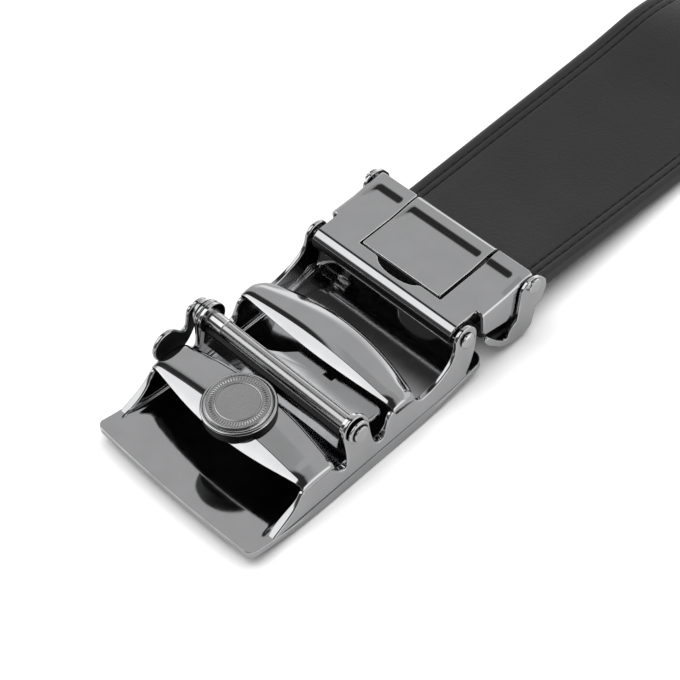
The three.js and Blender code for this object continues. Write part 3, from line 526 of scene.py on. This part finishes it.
# Boss and medallion: a round seat cast on the front bridge, and a struck disc pressed into it, with a
# satin face, a fine inner circle, a milled ring of radial petals and a polished rim.
def turned(profile, centre, axis, sides=96):
    """A lathe-turned piece: the profile (radius, height) is carried round an axis through the centre.
    Its first and last radius are 0, and each of those points is one vertex."""
    angle = np.linspace(0, 2 * np.pi, sides, endpoint=False)
    radius, height = profile[:, :1], profile[:, 1:]
    rings = np.stack(np.broadcast_arrays(radius * np.cos(angle), radius * np.sin(angle), height), -1)
    points = np.concatenate([rings[1:-1].reshape(-1, 3), rings[0, :1], rings[-1, :1]])
    count = len(rings) - 2
    here = np.arange(sides)
    then, last = (here + 1) % sides, (count - 1) * sides
    first_fan = np.stack([then, here, np.full(sides, count * sides)], -1)
    last_fan = np.stack([here + last, then + last, np.full(sides, count * sides + 1)], -1)
    order = {"y": [0, 2, 1], "z": [0, 1, 2]}[axis]
    sides = [quads(count, sides), np.concatenate([first_fan, last_fan])]
    return points[:, order] + np.array(centre), sides, np.zeros(len(points))


BOSS_RADIUS, BOSS_TOP, BOSS_SHADED_RAW_BELOW = 7.0, 12.1, 11.75
boss = [(0, 9.6), (6.85, 9.6), (6.85, 11.6), (BOSS_RADIUS, 11.85)]
boss += [(6.72, BOSS_TOP), (6.45, BOSS_TOP), (6.4, 11.6), (0, 11.5)]
boss = turned(filleted(boss, [0, 0.1, 0.1, 0.16, 0.2, 0.04, 0.1, 0], closed=False), (COIN_X, 0, 0), "z", 160)
# Painted shade: the boss's neck below its rim is painted near black and made rougher.
boss[2][boss[0][:, 2] < BOSS_SHADED_RAW_BELOW] = 1
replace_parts(skin("medallion_boss", boss, black_nickel, "buckle"), "buckle_frame")

COIN_LOW, COIN_TOP, COIN_PETALS = 11.6, 12.7, 64
coin = [(0, COIN_LOW), (6.1, COIN_LOW), (6.34, 11.8), (6.34, 12.3), (5.9, COIN_TOP), (5.8, COIN_TOP)]
coin += [(5.74, COIN_TOP - 0.12), (5.5, COIN_TOP - 0.12)]
coin = filleted(coin, [0, 0.1, 0.1, 0.28, 0.1, 0.05, 0.05, 0], closed=False)
face = np.linspace(5.45, 0, 110)
coin = np.concatenate([coin, np.stack([face, np.full(110, COIN_TOP - 0.12)], -1)])
coin = turned(coin, (COIN_X, 0, 0), "z", COIN_PETALS * 8)
points = coin[0]
radius = np.hypot(points[:, 0] - COIN_X, points[:, 1])
angle = np.arctan2(points[:, 1], points[:, 0] - COIN_X)
top_side = points[:, 2] > COIN_TOP - 0.2
petal = np.clip(1.5 * np.cos(COIN_PETALS * angle) - 0.2, 0, 1)
petal = petal * smooth(radius, 4.55, 4.7) * smooth(-radius, -5.45, -5.2)
circle = np.exp(-(((radius - 4.15) / 0.09) ** 2)) + 0.5 * np.exp(-(((radius - 5.6) / 0.07) ** 2))
points[:, 2] += top_side * (0.13 * petal + 0.08 * circle)
satin_nickel = plated("black_nickel_satin", (0.47, 0.47, 0.475), 0.24, hairlines=1.0)
skin("medallion_disc", coin, satin_nickel, "buckle", "medallion")


# Ratchet rod: turned steel pin across the walls, with a sleeve, a disc and two thin rings at the lever's
# end, and a collar and riveted head at the other.
def rod_profile(points, radii):
    return filleted(points, radii, steps=5, closed=False)


rod = [
    (0, -20.95),
    (1.45, -20.95),
    (1.6, -20.8),
    (1.55, -20.42),
    (2.2, -20.36),
    (2.4, -20.15),
    (2.3, -19.8),
    (1.15, -19.8),
    (1.15, -18.5),
    (2.45, -18.5),
    (2.45, -17.7),
    (1.45, -17.7),
    (1.45, 13.7),
    (1.66, 13.75),
    (1.66, 17.5),
    (3.1, 17.5),
    (3.1, 18.2),
    (1.15, 18.2),
    (1.15, 19.75),
    (2.6, 19.75),
    (2.6, 20.05),
    (1.7, 20.05),
    (1.7, 20.2),
    (2.35, 20.2),
    (2.35, 20.48),
    (1.0, 20.48),
    (1.0, 22.0),
    (0, 22.0),
]
rod = turned(rod_profile(rod, 0.12), (ROD_X, 0, ROD_Z), "y")
rod_off = np.hypot(rod[0][:, 0] - ROD_X, rod[0][:, 2] - ROD_Z)
# Painted shade: the undercut between head and washer and the washer's inner side are painted near black.
rod[2][(np.abs(rod[0][:, 1] + 20.42) < 0.12) & (rod_off > 1.5) & (rod_off < 1.85)] = 1
rod[2][(rod[0][:, 1] > -20.0) & (rod[0][:, 1] < -19.7)] = 1
steel = plated("plated_steel", (0.56, 0.56, 0.565), 0.08, hairlines=0.5)
skin("ratchet_pin", rod, steel, "ratchet", "ratchet_rod")

# Pawl: pressed steel that cradles the rod, with a skirt in front and a tongue behind it which is
# cut aslant at the lever's end and notched near the other.
PAWL_HALF, PAWL_INNER, PAWL_OUTER, TONGUE_TIP = 17.4, 1.75, 2.6, 5.1
PAWL_LOW, PAWL_SPAN = 8.2, 4.3
TONGUE_HALF, TONGUE_ROOT, TONGUE_THICK = 18.1, ROD_X + 1.9, 0.85

cradle = np.concatenate(
    [
        arc(ROD_X, ROD_Z, PAWL_INNER, 205, 334, 40),
        arc(ROD_X, ROD_Z, PAWL_OUTER, 334, 237, 24),
        [
            (ROD_X - 0.72 * PAWL_OUTER, PAWL_LOW + 0.26 * PAWL_SPAN),
            (ROD_X - 0.95 * PAWL_OUTER, PAWL_LOW),
            (ROD_X - 1.22 * PAWL_OUTER, PAWL_LOW + 0.05 * PAWL_SPAN),
            (ROD_X - 1.04 * PAWL_OUTER, PAWL_LOW + 0.35 * PAWL_SPAN),
        ],
        arc(ROD_X, ROD_Z, PAWL_OUTER, 212, 205, 4),
    ]
)
cradle = even(cradle, 0.12)
dark_steel = plated("dark_steel", (0.4, 0.402, 0.41), 0.1, hairlines=0.8)
pawl = slab(
    cradle,
    lambda x, z: np.full_like(x, -PAWL_HALF),
    lambda x, z: np.full_like(x, PAWL_HALF),
    0.1,
    lambda x, z, y: np.stack([x, y, z], -1),
)
# Painted shade: the cradle's front upper edge is painted near black.
pawl[2][(pawl[0][:, 0] < ROD_X - 1.5) & (pawl[0][:, 2] > ROD_Z - 1.9)] = 1
skin("pawl_cradle", pawl, dark_steel, "ratchet", "pawl")
tongue = [
    (TONGUE_ROOT, -TONGUE_HALF),
    (TONGUE_TIP + 0.65, -TONGUE_HALF),
    (TONGUE_TIP + 0.35, -11.0),
    (TONGUE_TIP, -6.9),
    (TONGUE_TIP - 1.1, -6.9),
    (TONGUE_TIP - 1.1, -4.6),
    (TONGUE_TIP, -4.6),
    (TONGUE_TIP, 2.0),
    (TONGUE_ROOT, 6.6),
]
tongue = even(filleted(tongue, [0.1, 1.6, 3.0, 0.3, 0.2, 0.2, 0.3, 0.6, 0.1], steps=12), 0.12)


def tongue_top(x, y):
    """Falls from the cradle and levels out towards the tip."""
    share = (x - ROD_X) / (TONGUE_TIP - ROD_X)
    return PAWL_LOW + PAWL_SPAN * np.interp(share, [0.2, 0.36, 0.5, 0.68, 1], [0.74, 0.62, 0.45, 0.34, 0.3])


tongue = slab(
    tongue,
    lambda x, y: tongue_top(x, y) - TONGUE_THICK,
    tongue_top,
    0.14,
    lambda x, y, z: np.stack([x, y, z], -1),
)
skin("pawl_tongue", tongue, dark_steel, "ratchet")


# Release lever: cast, outside the far wall, with a hub on the rod's end, a curved neck and a round pad.
LEVER_LOW, LEVER_THICK, HUB_RADIUS, PAD_RADIUS = 20.75, 1.0, 2.1, 3.4
PAD_X, PAD_Z = ROD_X - 8.3, ROD_Z - 3.3
hub_top = (ROD_X - 0.45 * HUB_RADIUS, ROD_Z + 0.85 * HUB_RADIUS)
hub_low = (ROD_X - 0.45 * HUB_RADIUS, ROD_Z - 0.85 * HUB_RADIUS)
pad_top = (PAD_X + 0.35 * PAD_RADIUS, PAD_Z + 0.93 * PAD_RADIUS)
pad_low = (PAD_X + 0.35 * PAD_RADIUS, PAD_Z - 0.93 * PAD_RADIUS)
nape = (ROD_X - 3.9, ROD_Z - 2.2)
lever = np.concatenate(
    [
        sweep_curve(hub_top, nape, (0.9, -0.23), (0.66, 0.775)),
        sweep_curve(nape, pad_top, (0.31, -0.49), (0.53, 0.78))[1:],
        arc(PAD_X, PAD_Z, PAD_RADIUS, 69, 291),
        sweep_curve(pad_low, hub_low, (0.5, -0.1), (0.75, 0.45)),
        arc(ROD_X, ROD_Z, HUB_RADIUS, -118, 118),
    ]
)


def lever_out(x, z):
    """Outer face of the lever, which swells over the pad."""
    return LEVER_LOW + LEVER_THICK + 0.4 * smooth(-np.hypot(x - PAD_X, z - PAD_Z), -3.6, -1.6)


lever = slab(
    even(lever, 0.12),
    lambda x, z: np.full_like(x, LEVER_LOW),
    lever_out,
    0.45,
    lambda x, z, y: np.stack([x, y, z], -1),
)
# Painted shade: the lever's face towards the wall is painted near black.
lever[2][:] = lever[0][:, 1] < LEVER_LOW + 0.04
skin("lever", lever, black_nickel, "ratchet", "release_lever")

# Ear pins: riveted steel pins through the ears into the ends of the clamp's roll.
for name, side, node_name in (("rivet_near", -1, "ear_pin_near"), ("rivet_far", 1, "ear_pin_far")):
    pin = [(0, 15.0), (1.1, 15.0), (1.1, 19.75), (1.62, 19.75), (1.62, 20.0), (1.2, 20.3), (0, 20.32)]
    pin = rod_profile(pin, 0.12) * [1, side]
    skin(name, turned(pin, (EAR_X, 0, EAR_Z), "y", 48), steel, "strap_end", node_name)


# Clamp lid: bright pressed steel. Its front edge is rolled round the ear pins, its sides are folded
# down over the strap, the rear sweeps up to the rod, and the middle is cut out for the latch flap.
def inside(points, outline):
    """Which points lie inside a closed outline: an odd number of its sides crosses the ray to the right."""
    a, b = outline, np.roll(outline, -1, 0)
    x, y = points[:, :1], points[:, 1:]
    spans = (a[:, 1] > y) != (b[:, 1] > y)
    drop = np.where(b[:, 1] == a[:, 1], 1e-9, b[:, 1] - a[:, 1])
    return (spans & (x < a[:, 0] + (y - a[:, 1]) / drop * (b[:, 0] - a[:, 0]))).sum(1) % 2 == 1


def formed_sheet(outline, lines_u, lines_v, thick, rim, place, steps=6):
    """Sheet metal cut to an outline in its flat state (u, v) and bent by place(u, v, h), where h is the height
    over its outer face, so it is 0 outside and -thick inside. Its rims are rounded as a slab's are. Both faces
    are a net over the outline and those crossings of the lines that lie inside it."""
    a = np.linspace(0, RIGHT_ANGLE, steps)
    inset = np.r_[rim * (1 - np.cos(a)), rim + 0.04]
    short = np.r_[rim * (1 - np.sin(a)), 0.0]
    rings = outline + inset[:, None, None] * inward(outline)
    count = len(outline)
    core = rings[-1]
    u, v = (part.ravel() for part in np.meshgrid(lines_u, lines_v, indexing="ij"))
    net = np.stack([u, v], -1)
    net = net[inside(net, core)]
    away = np.sqrt(((net[:, None] - core[None]) ** 2).sum(-1)).min(1)
    net = net[away > 0.11]
    flat = np.concatenate([core, net])
    sides = [(i, (i + 1) % count) for i in range(count)]
    _, _, triangles, source, _, _ = delaunay_2d_cdt(list(map(Vector, flat.tolist())), sides, [], 1, 1e-7)
    source = np.array([came[0] for came in source])
    triangles = source[np.array(triangles)]
    upper = place(rings[..., 0], rings[..., 1], -short[:, None])
    lower = place(rings[..., 0], rings[..., 1], short[:, None] - thick)
    wall = np.concatenate([lower[::-1], upper]).reshape(-1, 3)
    over, under = place(net[:, 0], net[:, 1], 0 * net[:, 0]), place(net[:, 0], net[:, 1], 0 * net[:, 0] - thick)
    points = np.concatenate([wall, over, under])
    turns = 2 * len(rings)
    upper_numbers = np.r_[np.arange(count) + (turns - 1) * count, len(wall) + np.arange(len(net))]
    lower_numbers = np.r_[np.arange(count), len(wall) + len(net) + np.arange(len(net))]
    # Painted shade: the lower face and the lower half of the rims are painted near black; the upper face stays plated.
    raw_and_shaded = np.repeat([1.0, 0.0, 0.0, 1.0], [len(rings) * count, len(rings) * count, len(net), len(net)])
    return points, [quads(turns, count), upper_numbers[triangles], lower_numbers[triangles[:, ::-1]]], raw_and_shaded


LID_TOP, LID_THICK, LID_HALF, LID_CORNER = 14.5, 0.95, 19.4, 1.3
LID_SHOULDER, LID_END, ROLL_HALF, ROLL_RADIUS = 30.2, 43.4, 17.6, 2.5
FLAP_FRONT, FLAP_NEAR, FLAP_FAR, FLAP_ROD_X, FLAP_ROD_Z = 28.2, -10.4, 9.2, 42.4, 13.2
SWEEP_RISE, SWEEP_RUN, SWEEP_TOP, SWEEP_EASE, ROLL_TURN = 0.5, 1.9, 41.2, 0.85, np.radians(112)
LID_FLAT = LID_HALF - LID_CORNER
LID_FOLD = LID_FLAT + RIGHT_ANGLE * LID_CORNER
CUT_NEAR, CUT_FAR, CUT_FRONT = 0.7, 0.35, 0.45


def sweep(x, y):
    """Rise of the clamp's top towards its rear edge: a straight slope, eased in and out by parabolas. It is
    longer and gentler beside the cut round the flap and at the folded sides."""
    cut = np.abs(np.maximum(FLAP_NEAR - y, y - FLAP_FAR) - 0.2)
    run = SWEEP_RUN * (1 + 1.6 * np.maximum(smooth(-cut, -1.7, -0.5), smooth(np.abs(y), 16.4, 18.0)))
    gone = x - SWEEP_TOP + np.stack([run, 0 * run])
    eased = np.clip(gone + SWEEP_EASE, 0, 2 * SWEEP_EASE) ** 2 / (4 * SWEEP_EASE) + np.maximum(0, gone - SWEEP_EASE)
    return SWEEP_RISE / run * (eased[0] - eased[1])


def lid_place(length, side, h):
    """Across, the sheet is flat, then a quarter circle, then straight down; along, it is rolled round the
    ear pins in front of their axis and follows the sweep behind."""
    s = np.abs(side)
    fold = np.clip((s - LID_FLAT) / LID_CORNER, 0, RIGHT_ANGLE)
    y = np.minimum(s, LID_FLAT) + (LID_CORNER + h) * np.sin(fold)
    z = (LID_CORNER + h) * np.cos(fold) - LID_CORNER - np.maximum(0, s - LID_FOLD)
    rolled = np.maximum(0, EAR_X - length) / ROLL_RADIUS
    x = np.maximum(length, EAR_X) - (ROLL_RADIUS + h) * np.sin(rolled)
    z = z + (ROLL_RADIUS + h) * (np.cos(rolled) - 1)
    return np.stack([x, np.sign(side) * y, LID_TOP + z + sweep(length, y)], -1)


def lid_outline():
    """The lid's flat cut, one side's edge and then the other's, with the opening for the flap from behind
    and a half-round finger notch in front of it."""
    shoulder, low, rear = 24.5, 26.4, 23.6
    near = [(EAR_X - ROLL_RADIUS * ROLL_TURN, -ROLL_HALF), (LID_SHOULDER, -ROLL_HALF), (LID_SHOULDER, -shoulder)]
    near += [(38.4, -low), (42.4, -24.2), (LID_END, -rear), (LID_END, FLAP_NEAR - CUT_NEAR)]
    near_radius = [0.5, 0.5, 0.8, 3.0, 1.0, 0.6, 0.35]
    far = [(x, -y) for x, y in near[:-1]][::-1]
    notch = [(0.0, -5.9), (-0.9, -5.0), (-1.55, -3.2), (-1.75, -0.6), (-1.55, 2.0), (-0.9, 3.8), (0.0, 4.7)]
    near = near + [(FLAP_FRONT - CUT_FRONT, FLAP_NEAR - CUT_NEAR)] + [(FLAP_FRONT - CUT_FRONT + x, y) for x, y in notch]
    far = [(FLAP_FRONT - CUT_FRONT, FLAP_FAR + CUT_FAR), (LID_END, FLAP_FAR + CUT_FAR)] + far
    radius = near_radius + [0.25] + [1.2] * len(notch) + [0.25, 0.35] + near_radius[-2::-1]
    return filleted(near + far, radius, steps=9)


lid = formed_sheet(
    even(lid_outline(), 0.2),
    np.r_[np.arange(20.6, 26, 0.2), np.arange(26.4, 37.8, 0.6), np.arange(38.0, 43.5, 0.2)],
    np.r_[
        -26:-20.4:0.7,
        -20.3:-16.2:0.17,
        -16:-13.2:0.6,
        -12.9:-11:0.2,
        -10.8:9.4:0.6,
        9.6:11.6:0.2,
        12:16:0.6,
        16.2:20.4:0.17,
        20.5:26.2:0.7,
    ],
    LID_THICK,
    0.2,
    lid_place,
)
roll_x, roll_z = lid[0][:, 0] - EAR_X, lid[0][:, 2] - EAR_Z
# Painted shade: the lower front of the roll is painted near black.
lid[2][(roll_x < -1) & (roll_z < 0.5 * ROLL_RADIUS) & (roll_z > -0.28 * ROLL_RADIUS)] = 1
skin("clamp_lid_sheet", lid, black_nickel, "strap_end", "clamp_lid")


# Latch flap: steel leaf set in the lid's opening, its rear edge rolled round the rod into a knuckle
# that stands as a bright bead over the strap.
FLAP_THICK, KNUCKLE = 0.76, LID_TOP + SWEEP_RISE - FLAP_ROD_Z


def flap_place(length, y, h):
    """Level, then up the sweep, then round the rod."""
    rolled = np.maximum(0, length - FLAP_ROD_X) / KNUCKLE
    x = np.minimum(length, FLAP_ROD_X) + (KNUCKLE + h) * np.sin(rolled)
    rise = np.where(length > FLAP_ROD_X, SWEEP_RISE, sweep(length, y))
    return np.stack([x, y, LID_TOP + rise + h - (KNUCKLE + h) * (1 - np.cos(rolled))], -1)


flap_end = FLAP_ROD_X + KNUCKLE * np.radians(150)
flap = [(FLAP_FRONT, FLAP_NEAR), (flap_end, FLAP_NEAR), (flap_end, FLAP_FAR), (FLAP_FRONT, FLAP_FAR)]
flap = formed_sheet(
    even(filleted(flap, 0.3, steps=9), 0.2),
    np.r_[np.arange(28.6, 37.8, 0.6), np.arange(38.0, 47.8, 0.2)],
    np.r_[-10.2:-8.4:0.2, -8:7:0.65, 7.2:9.1:0.2],
    FLAP_THICK,
    0.16,
    flap_place,
)
skin("latch_flap_leaf", flap, black_nickel, "flap", "latch_flap")


# Clamp base: cast plate under the strap between two outer flanges that carry the rear rod.
BASE_INSIDE, BASE_OUTSIDE, BASE_FLOOR = 19.7, 20.35, 4.1
flange_shares = [
    (0, 0.53),
    (0.06, 0.38),
    (0.17, 0.25),
    (0.32, 0.07),
    (0.47, 0.01),
    (0.67, 0),
    (0.76, 0.06),
    (0.81, 0.28),
    (0.84, 0.4),
    (0.92, 0.41),
    (1, 0.64),
    (0.99, 0.78),
    (0.9, 0.94),
    (0.79, 1),
    (0.69, 1),
    (0.6, 0.91),
    (0.53, 0.39),
    (0.43, 0.34),
    (0.37, 0.19),
    (0.31, 0.2),
    (0.21, 0.32),
    (0.12, 0.46),
    (0.065, 0.55),
]
base_low, base_high = np.array([29.4, 1.5]), np.array([46.1, 14.9])
flange = base_low + np.array(flange_shares) * (base_high - base_low)
flange = even(filleted(flange, 0.7, steps=8), 0.15)
for name, side in (("clamp_flange_near", -1), ("clamp_flange_far", 1)):
    cheek = slab(
        flange,
        lambda x, z: np.full_like(x, BASE_INSIDE),
        lambda x, z: np.full_like(x, BASE_OUTSIDE),
        0.16,
        lambda x, z, depth: np.stack([x, side * depth, z], -1),
    )
    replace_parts(skin(name, cheek, black_nickel, "strap_end"), "clamp_base")
x0, x1, y1 = 33.4, 42.6, BASE_OUTSIDE - 0.1
sole = even(filleted([(x0, -y1), (x1, -y1), (x1, y1), (x0, y1)], 0.6), 0.3)
sole = slab(
    sole,
    lambda x, y: np.full_like(x, BASE_FLOOR - 1),
    lambda x, y: np.full_like(x, BASE_FLOOR),
    0.15,
    lambda x, y, z: np.stack([x, y, z], -1),
)
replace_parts(skin("clamp_sole", sole, black_nickel, "strap_end"), "clamp_base")

# Rear rod: steel pin through flap, lid and flanges, riveted over at both ends, and beside each end the
# small round head that stakes the flange.
rod = [(0, -21.15), (1.0, -21.15), (1.5, -20.9), (1.5, -20.62), (1.0, -20.62)]
rod = np.array(rod + [(r, -y) for r, y in rod[::-1]])
rod = turned(rod_profile(rod, 0.14), (FLAP_ROD_X, 0, FLAP_ROD_Z), "y", 48)
skin("rear_rod", rod, steel, "strap_end", "flap_rod")
for name, side in (("flange_stake_near", -1), ("flange_stake_far", 1)):
    stake = rod_profile([(0, 20.2), (0.75, 20.2), (0.75, 20.5), (0.5, 20.72), (0, 20.75)], 0.15) * [1, side]
    skin(name, turned(stake, (41.0, 0, 14.3), "y", 40), steel, "strap_end")


# Strap: two plies of smooth black leather with turned and painted edges. It leaves the clamp level,
# twists as it sinks to the floor and ends in a plainly finished tail.
STRAP_HALF, STRAP_THICK, STRAP_START, STRAP_END, STRAP_LAY, STRAP_TIP = 17.75, 3.3, 32.0, 160.0, 14.0, 6.0
STRAP_TWIST, STRAP_FALL, BASE_REAR = 0.0557, 0.027, 3.7
BLEND_HEIGHT, BLEND_FROM, BLEND_TO = 0.4, 80, 100
STITCH_ROWS, GROOVE_DEPTH, GROOVE_WIDTH = (2.4, 3.9), 0.32, 0.32


def strap_path(x):
    """The strap's sideways slope and the height of its middle at x: the greater of the height of its fall and
    the height at which its lower edge lies on the floor, blended where they meet."""
    clamp_end = FLAP_ROD_X + BASE_REAR
    lay_start = STRAP_END - STRAP_LAY
    settle = smooth(x, clamp_end + 0.66 * (lay_start - clamp_end), lay_start)
    free = np.maximum(0, x - clamp_end)
    slope = np.arctan(np.maximum(0, free - BASE_REAR) * STRAP_TWIST * (1 - settle) / STRAP_HALF)
    edge = STRAP_HALF * np.sin(slope) + STRAP_THICK / 2 * np.cos(slope)
    rest = BASE_FLOOR + 0.3 + STRAP_THICK / 2
    fall = (rest - STRAP_FALL * free) * (1 - settle) + edge * settle
    blend = BLEND_HEIGHT * (1 - settle) * smooth(x, BLEND_FROM, BLEND_TO)
    return slope, (edge + fall + np.hypot(edge - fall, blend)) / 2


def strap_place(x, y, h):
    slope, middle = strap_path(x)
    return np.stack([x, y * np.cos(slope) - h * np.sin(slope), middle + y * np.sin(slope) + h * np.cos(slope)], -1)


def strap_wide(x):
    """Half width: the tail's corners are rounded off by an ellipse."""
    tip = np.clip((x - STRAP_END + STRAP_TIP) / STRAP_TIP, 0, 1)
    return STRAP_HALF - 0.85 * STRAP_TIP * (1 - np.sqrt(1 - tip**2))


def strap_top(inset):
    """Height of the leather's upper face at a distance from the edge: a quarter ellipse at the edge, then
    flat, with a rounded groove pressed along each row of stitches and a slight crown inside the rows."""
    edge = np.clip(1 - inset / 1.5, 0, 1)
    grooves = sum(np.exp(-(((inset - row) / GROOVE_WIDTH) ** 2)) for row in STITCH_ROWS)
    body = STRAP_THICK / 2 - 0.18 + 0.18 * smooth(inset, 3.6, 7.5)
    return body * np.sqrt(1 - 0.999 * edge**2) - GROOVE_DEPTH * grooves


def strap():
    """Rings across the strap at constant x: upper face from edge to edge, then the plain lower face."""
    tail = STRAP_END - STRAP_TIP + STRAP_TIP * np.sin(np.linspace(0, RIGHT_ANGLE, 24))
    x = np.r_[np.linspace(STRAP_START, STRAP_END - STRAP_TIP, 260)[:-1], tail][:, None]
    inset = np.r_[
        1.5 * (1 - np.cos(np.linspace(0.06, RIGHT_ANGLE, 10))),
        np.arange(1.65, 5.0, 0.11),
        np.linspace(5.2, STRAP_HALF, 20),
    ]
    wide = strap_wide(x)
    half = wide - inset[None] * wide / STRAP_HALF
    y = np.concatenate([half, -half[:, -2::-1]], 1)
    top = np.r_[strap_top(inset), strap_top(inset)[-2::-1]][None]
    low = -np.minimum(1, np.abs(top) / (STRAP_THICK / 2 - 0.18)) * STRAP_THICK / 2
    thin = 1 - 0.35 * np.clip((x - STRAP_END + 1.2) / 1.2, 0, 1) ** 3
    upper = strap_place(np.broadcast_to(x, y.shape), y, thin * top)
    lower = strap_place(np.broadcast_to(x, y.shape), y, thin * low)[:, ::-1]
    return loft(np.concatenate([upper, lower], 1))


# Leather's finish: tight round pores and soft creases under a thin black dressing, painted darker in the grooves as
# shade.
hide, asked, given = shared_nodes(
    "leather_grain",
    {"Dye": ("Color", (0.02, 0.02, 0.02, 1)), "Pore size": ("Float", 0.0005), "Sheen spread": ("Float", 0.12)},
    {"Color": "Color", "Roughness": "Float", "Height": "Float"},
)
where = node(hide, "ShaderNodeTexCoord").outputs["Object"]
often = math(hide, "DIVIDE", 1.0, asked["Pore size"])
pores = node(hide, "ShaderNodeTexVoronoi", {"Vector": where, "Scale": often}, feature="SMOOTH_F1").outputs["Distance"]
crease = node(hide, "ShaderNodeTexNoise", {"Vector": where, "Scale": 420.0, "Detail": 4.0}).outputs["Fac"]
patchy = node(hide, "ShaderNodeTexNoise", {"Vector": where, "Scale": 60.0, "Detail": 2.0}).outputs["Fac"]
worn = ramp(hide, node(hide, "ShaderNodeAttribute", attribute_name="curve").outputs["Fac"], 0.2, 0.9)
# Painted shade: the dye is darkened in grooves and hollows, down to a quarter in the deepest.
groove_shade = ramp(hide, node(hide, "ShaderNodeAttribute", attribute_name="curve").outputs["Fac"], 0.1, -1.0, 1.0, 0.25)
lift = math(hide, "ADD", ramp(hide, patchy, 0.3, 0.7, 0.85, 1.15), math(hide, "MULTIPLY", worn, 0.25))
lift = math(hide, "MULTIPLY", lift, groove_shade)
dyed = node(hide, "ShaderNodeVectorMath", {0: asked["Dye"], "Scale": lift}, operation="SCALE")
hide.links.new(dyed.outputs[0], given["Color"])
spread = math(hide, "MULTIPLY", asked["Sheen spread"], ramp(hide, patchy, 0.3, 0.7, -0.5, 0.5))
hide.links.new(math(hide, "ADD", spread, 0.42), given["Roughness"])
hide.links.new(math(hide, "ADD", ramp(hide, pores, 0.1, 0.6), math(hide, "MULTIPLY", crease, 0.8)), given["Height"])


def leather(name, dye, depth):
    """Leather with the shared grain; depth is the grain's height in metres."""
    made = bpy.data.materials.new(name)
    made.use_nodes = True
    tree = made.node_tree
    surface = tree.nodes["Principled BSDF"].inputs
    grain = node(tree, "ShaderNodeGroup", node_tree=hide)
    grain.inputs["Dye"].default_value = (*dye, 1)
    rough = node(tree, "ShaderNodeBump", {"Height": grain.outputs["Height"], "Distance": depth, "Strength": 0.6})
    tree.links.new(grain.outputs["Color"], surface["Base Color"])
    tree.links.new(grain.outputs["Roughness"], surface["Roughness"])
    tree.links.new(rough.outputs["Normal"], surface["Normal"])
    return made


black_leather = leather("black_leather_smooth", (0.012, 0.012, 0.0125), 0.00004)
skin("belt_strap", strap(), black_leather, "strap_end", "strap")

# Stitching: two rows of bonded black thread along each edge, each stitch a short twist sunk at both ends.
STITCH_PITCH, STITCH_LENGTH, THREAD = 2.3, 1.95, 0.17


def stitches():
    """Every stitch is the same small sausage: along its length a the thread's radius is that of a long
    ellipse, and its middle rises over the groove by a half wave."""
    starts = np.arange(STRAP_START + 1.5, STRAP_END - STRAP_TIP - 1, STITCH_PITCH)
    rows = np.array([side * (STRAP_HALF - row) for side in (-1, 1) for row in STITCH_ROWS])
    along = np.linspace(0, np.pi, 8)
    around = np.linspace(0, 2 * np.pi, 7)[:-1]
    start, row, a, b = np.meshgrid(starts, rows, along, around, indexing="ij")
    radius = THREAD * np.maximum(0.08, np.sin(a)) ** 0.35
    groove = np.interp(np.abs(row), STRAP_HALF - np.array(STITCH_ROWS)[::-1], [strap_top(r) for r in STITCH_ROWS[::-1]])
    middle = groove - 0.02 + 0.1 * np.sin(a)
    x = start + STITCH_LENGTH * (1 - np.cos(a)) / 2
    points = strap_place(x, row + radius * np.cos(b), middle + radius * np.sin(b)).reshape(-1, 48, 3)
    number = np.arange(len(points))[:, None, None] * 48
    sides = (quads(8, 6)[None] + number).reshape(-1, 4)
    ends = np.stack([np.arange(6)[::-1], 42 + np.arange(6)])[None] + number
    return points.reshape(-1, 3), [sides, ends.reshape(-1, 6)], np.zeros(points.shape[0] * 48)


thread = leather("black_thread", (0.004, 0.004, 0.004), 0.00001)
skin("strap_stitching", stitches(), thread, "strap_end")
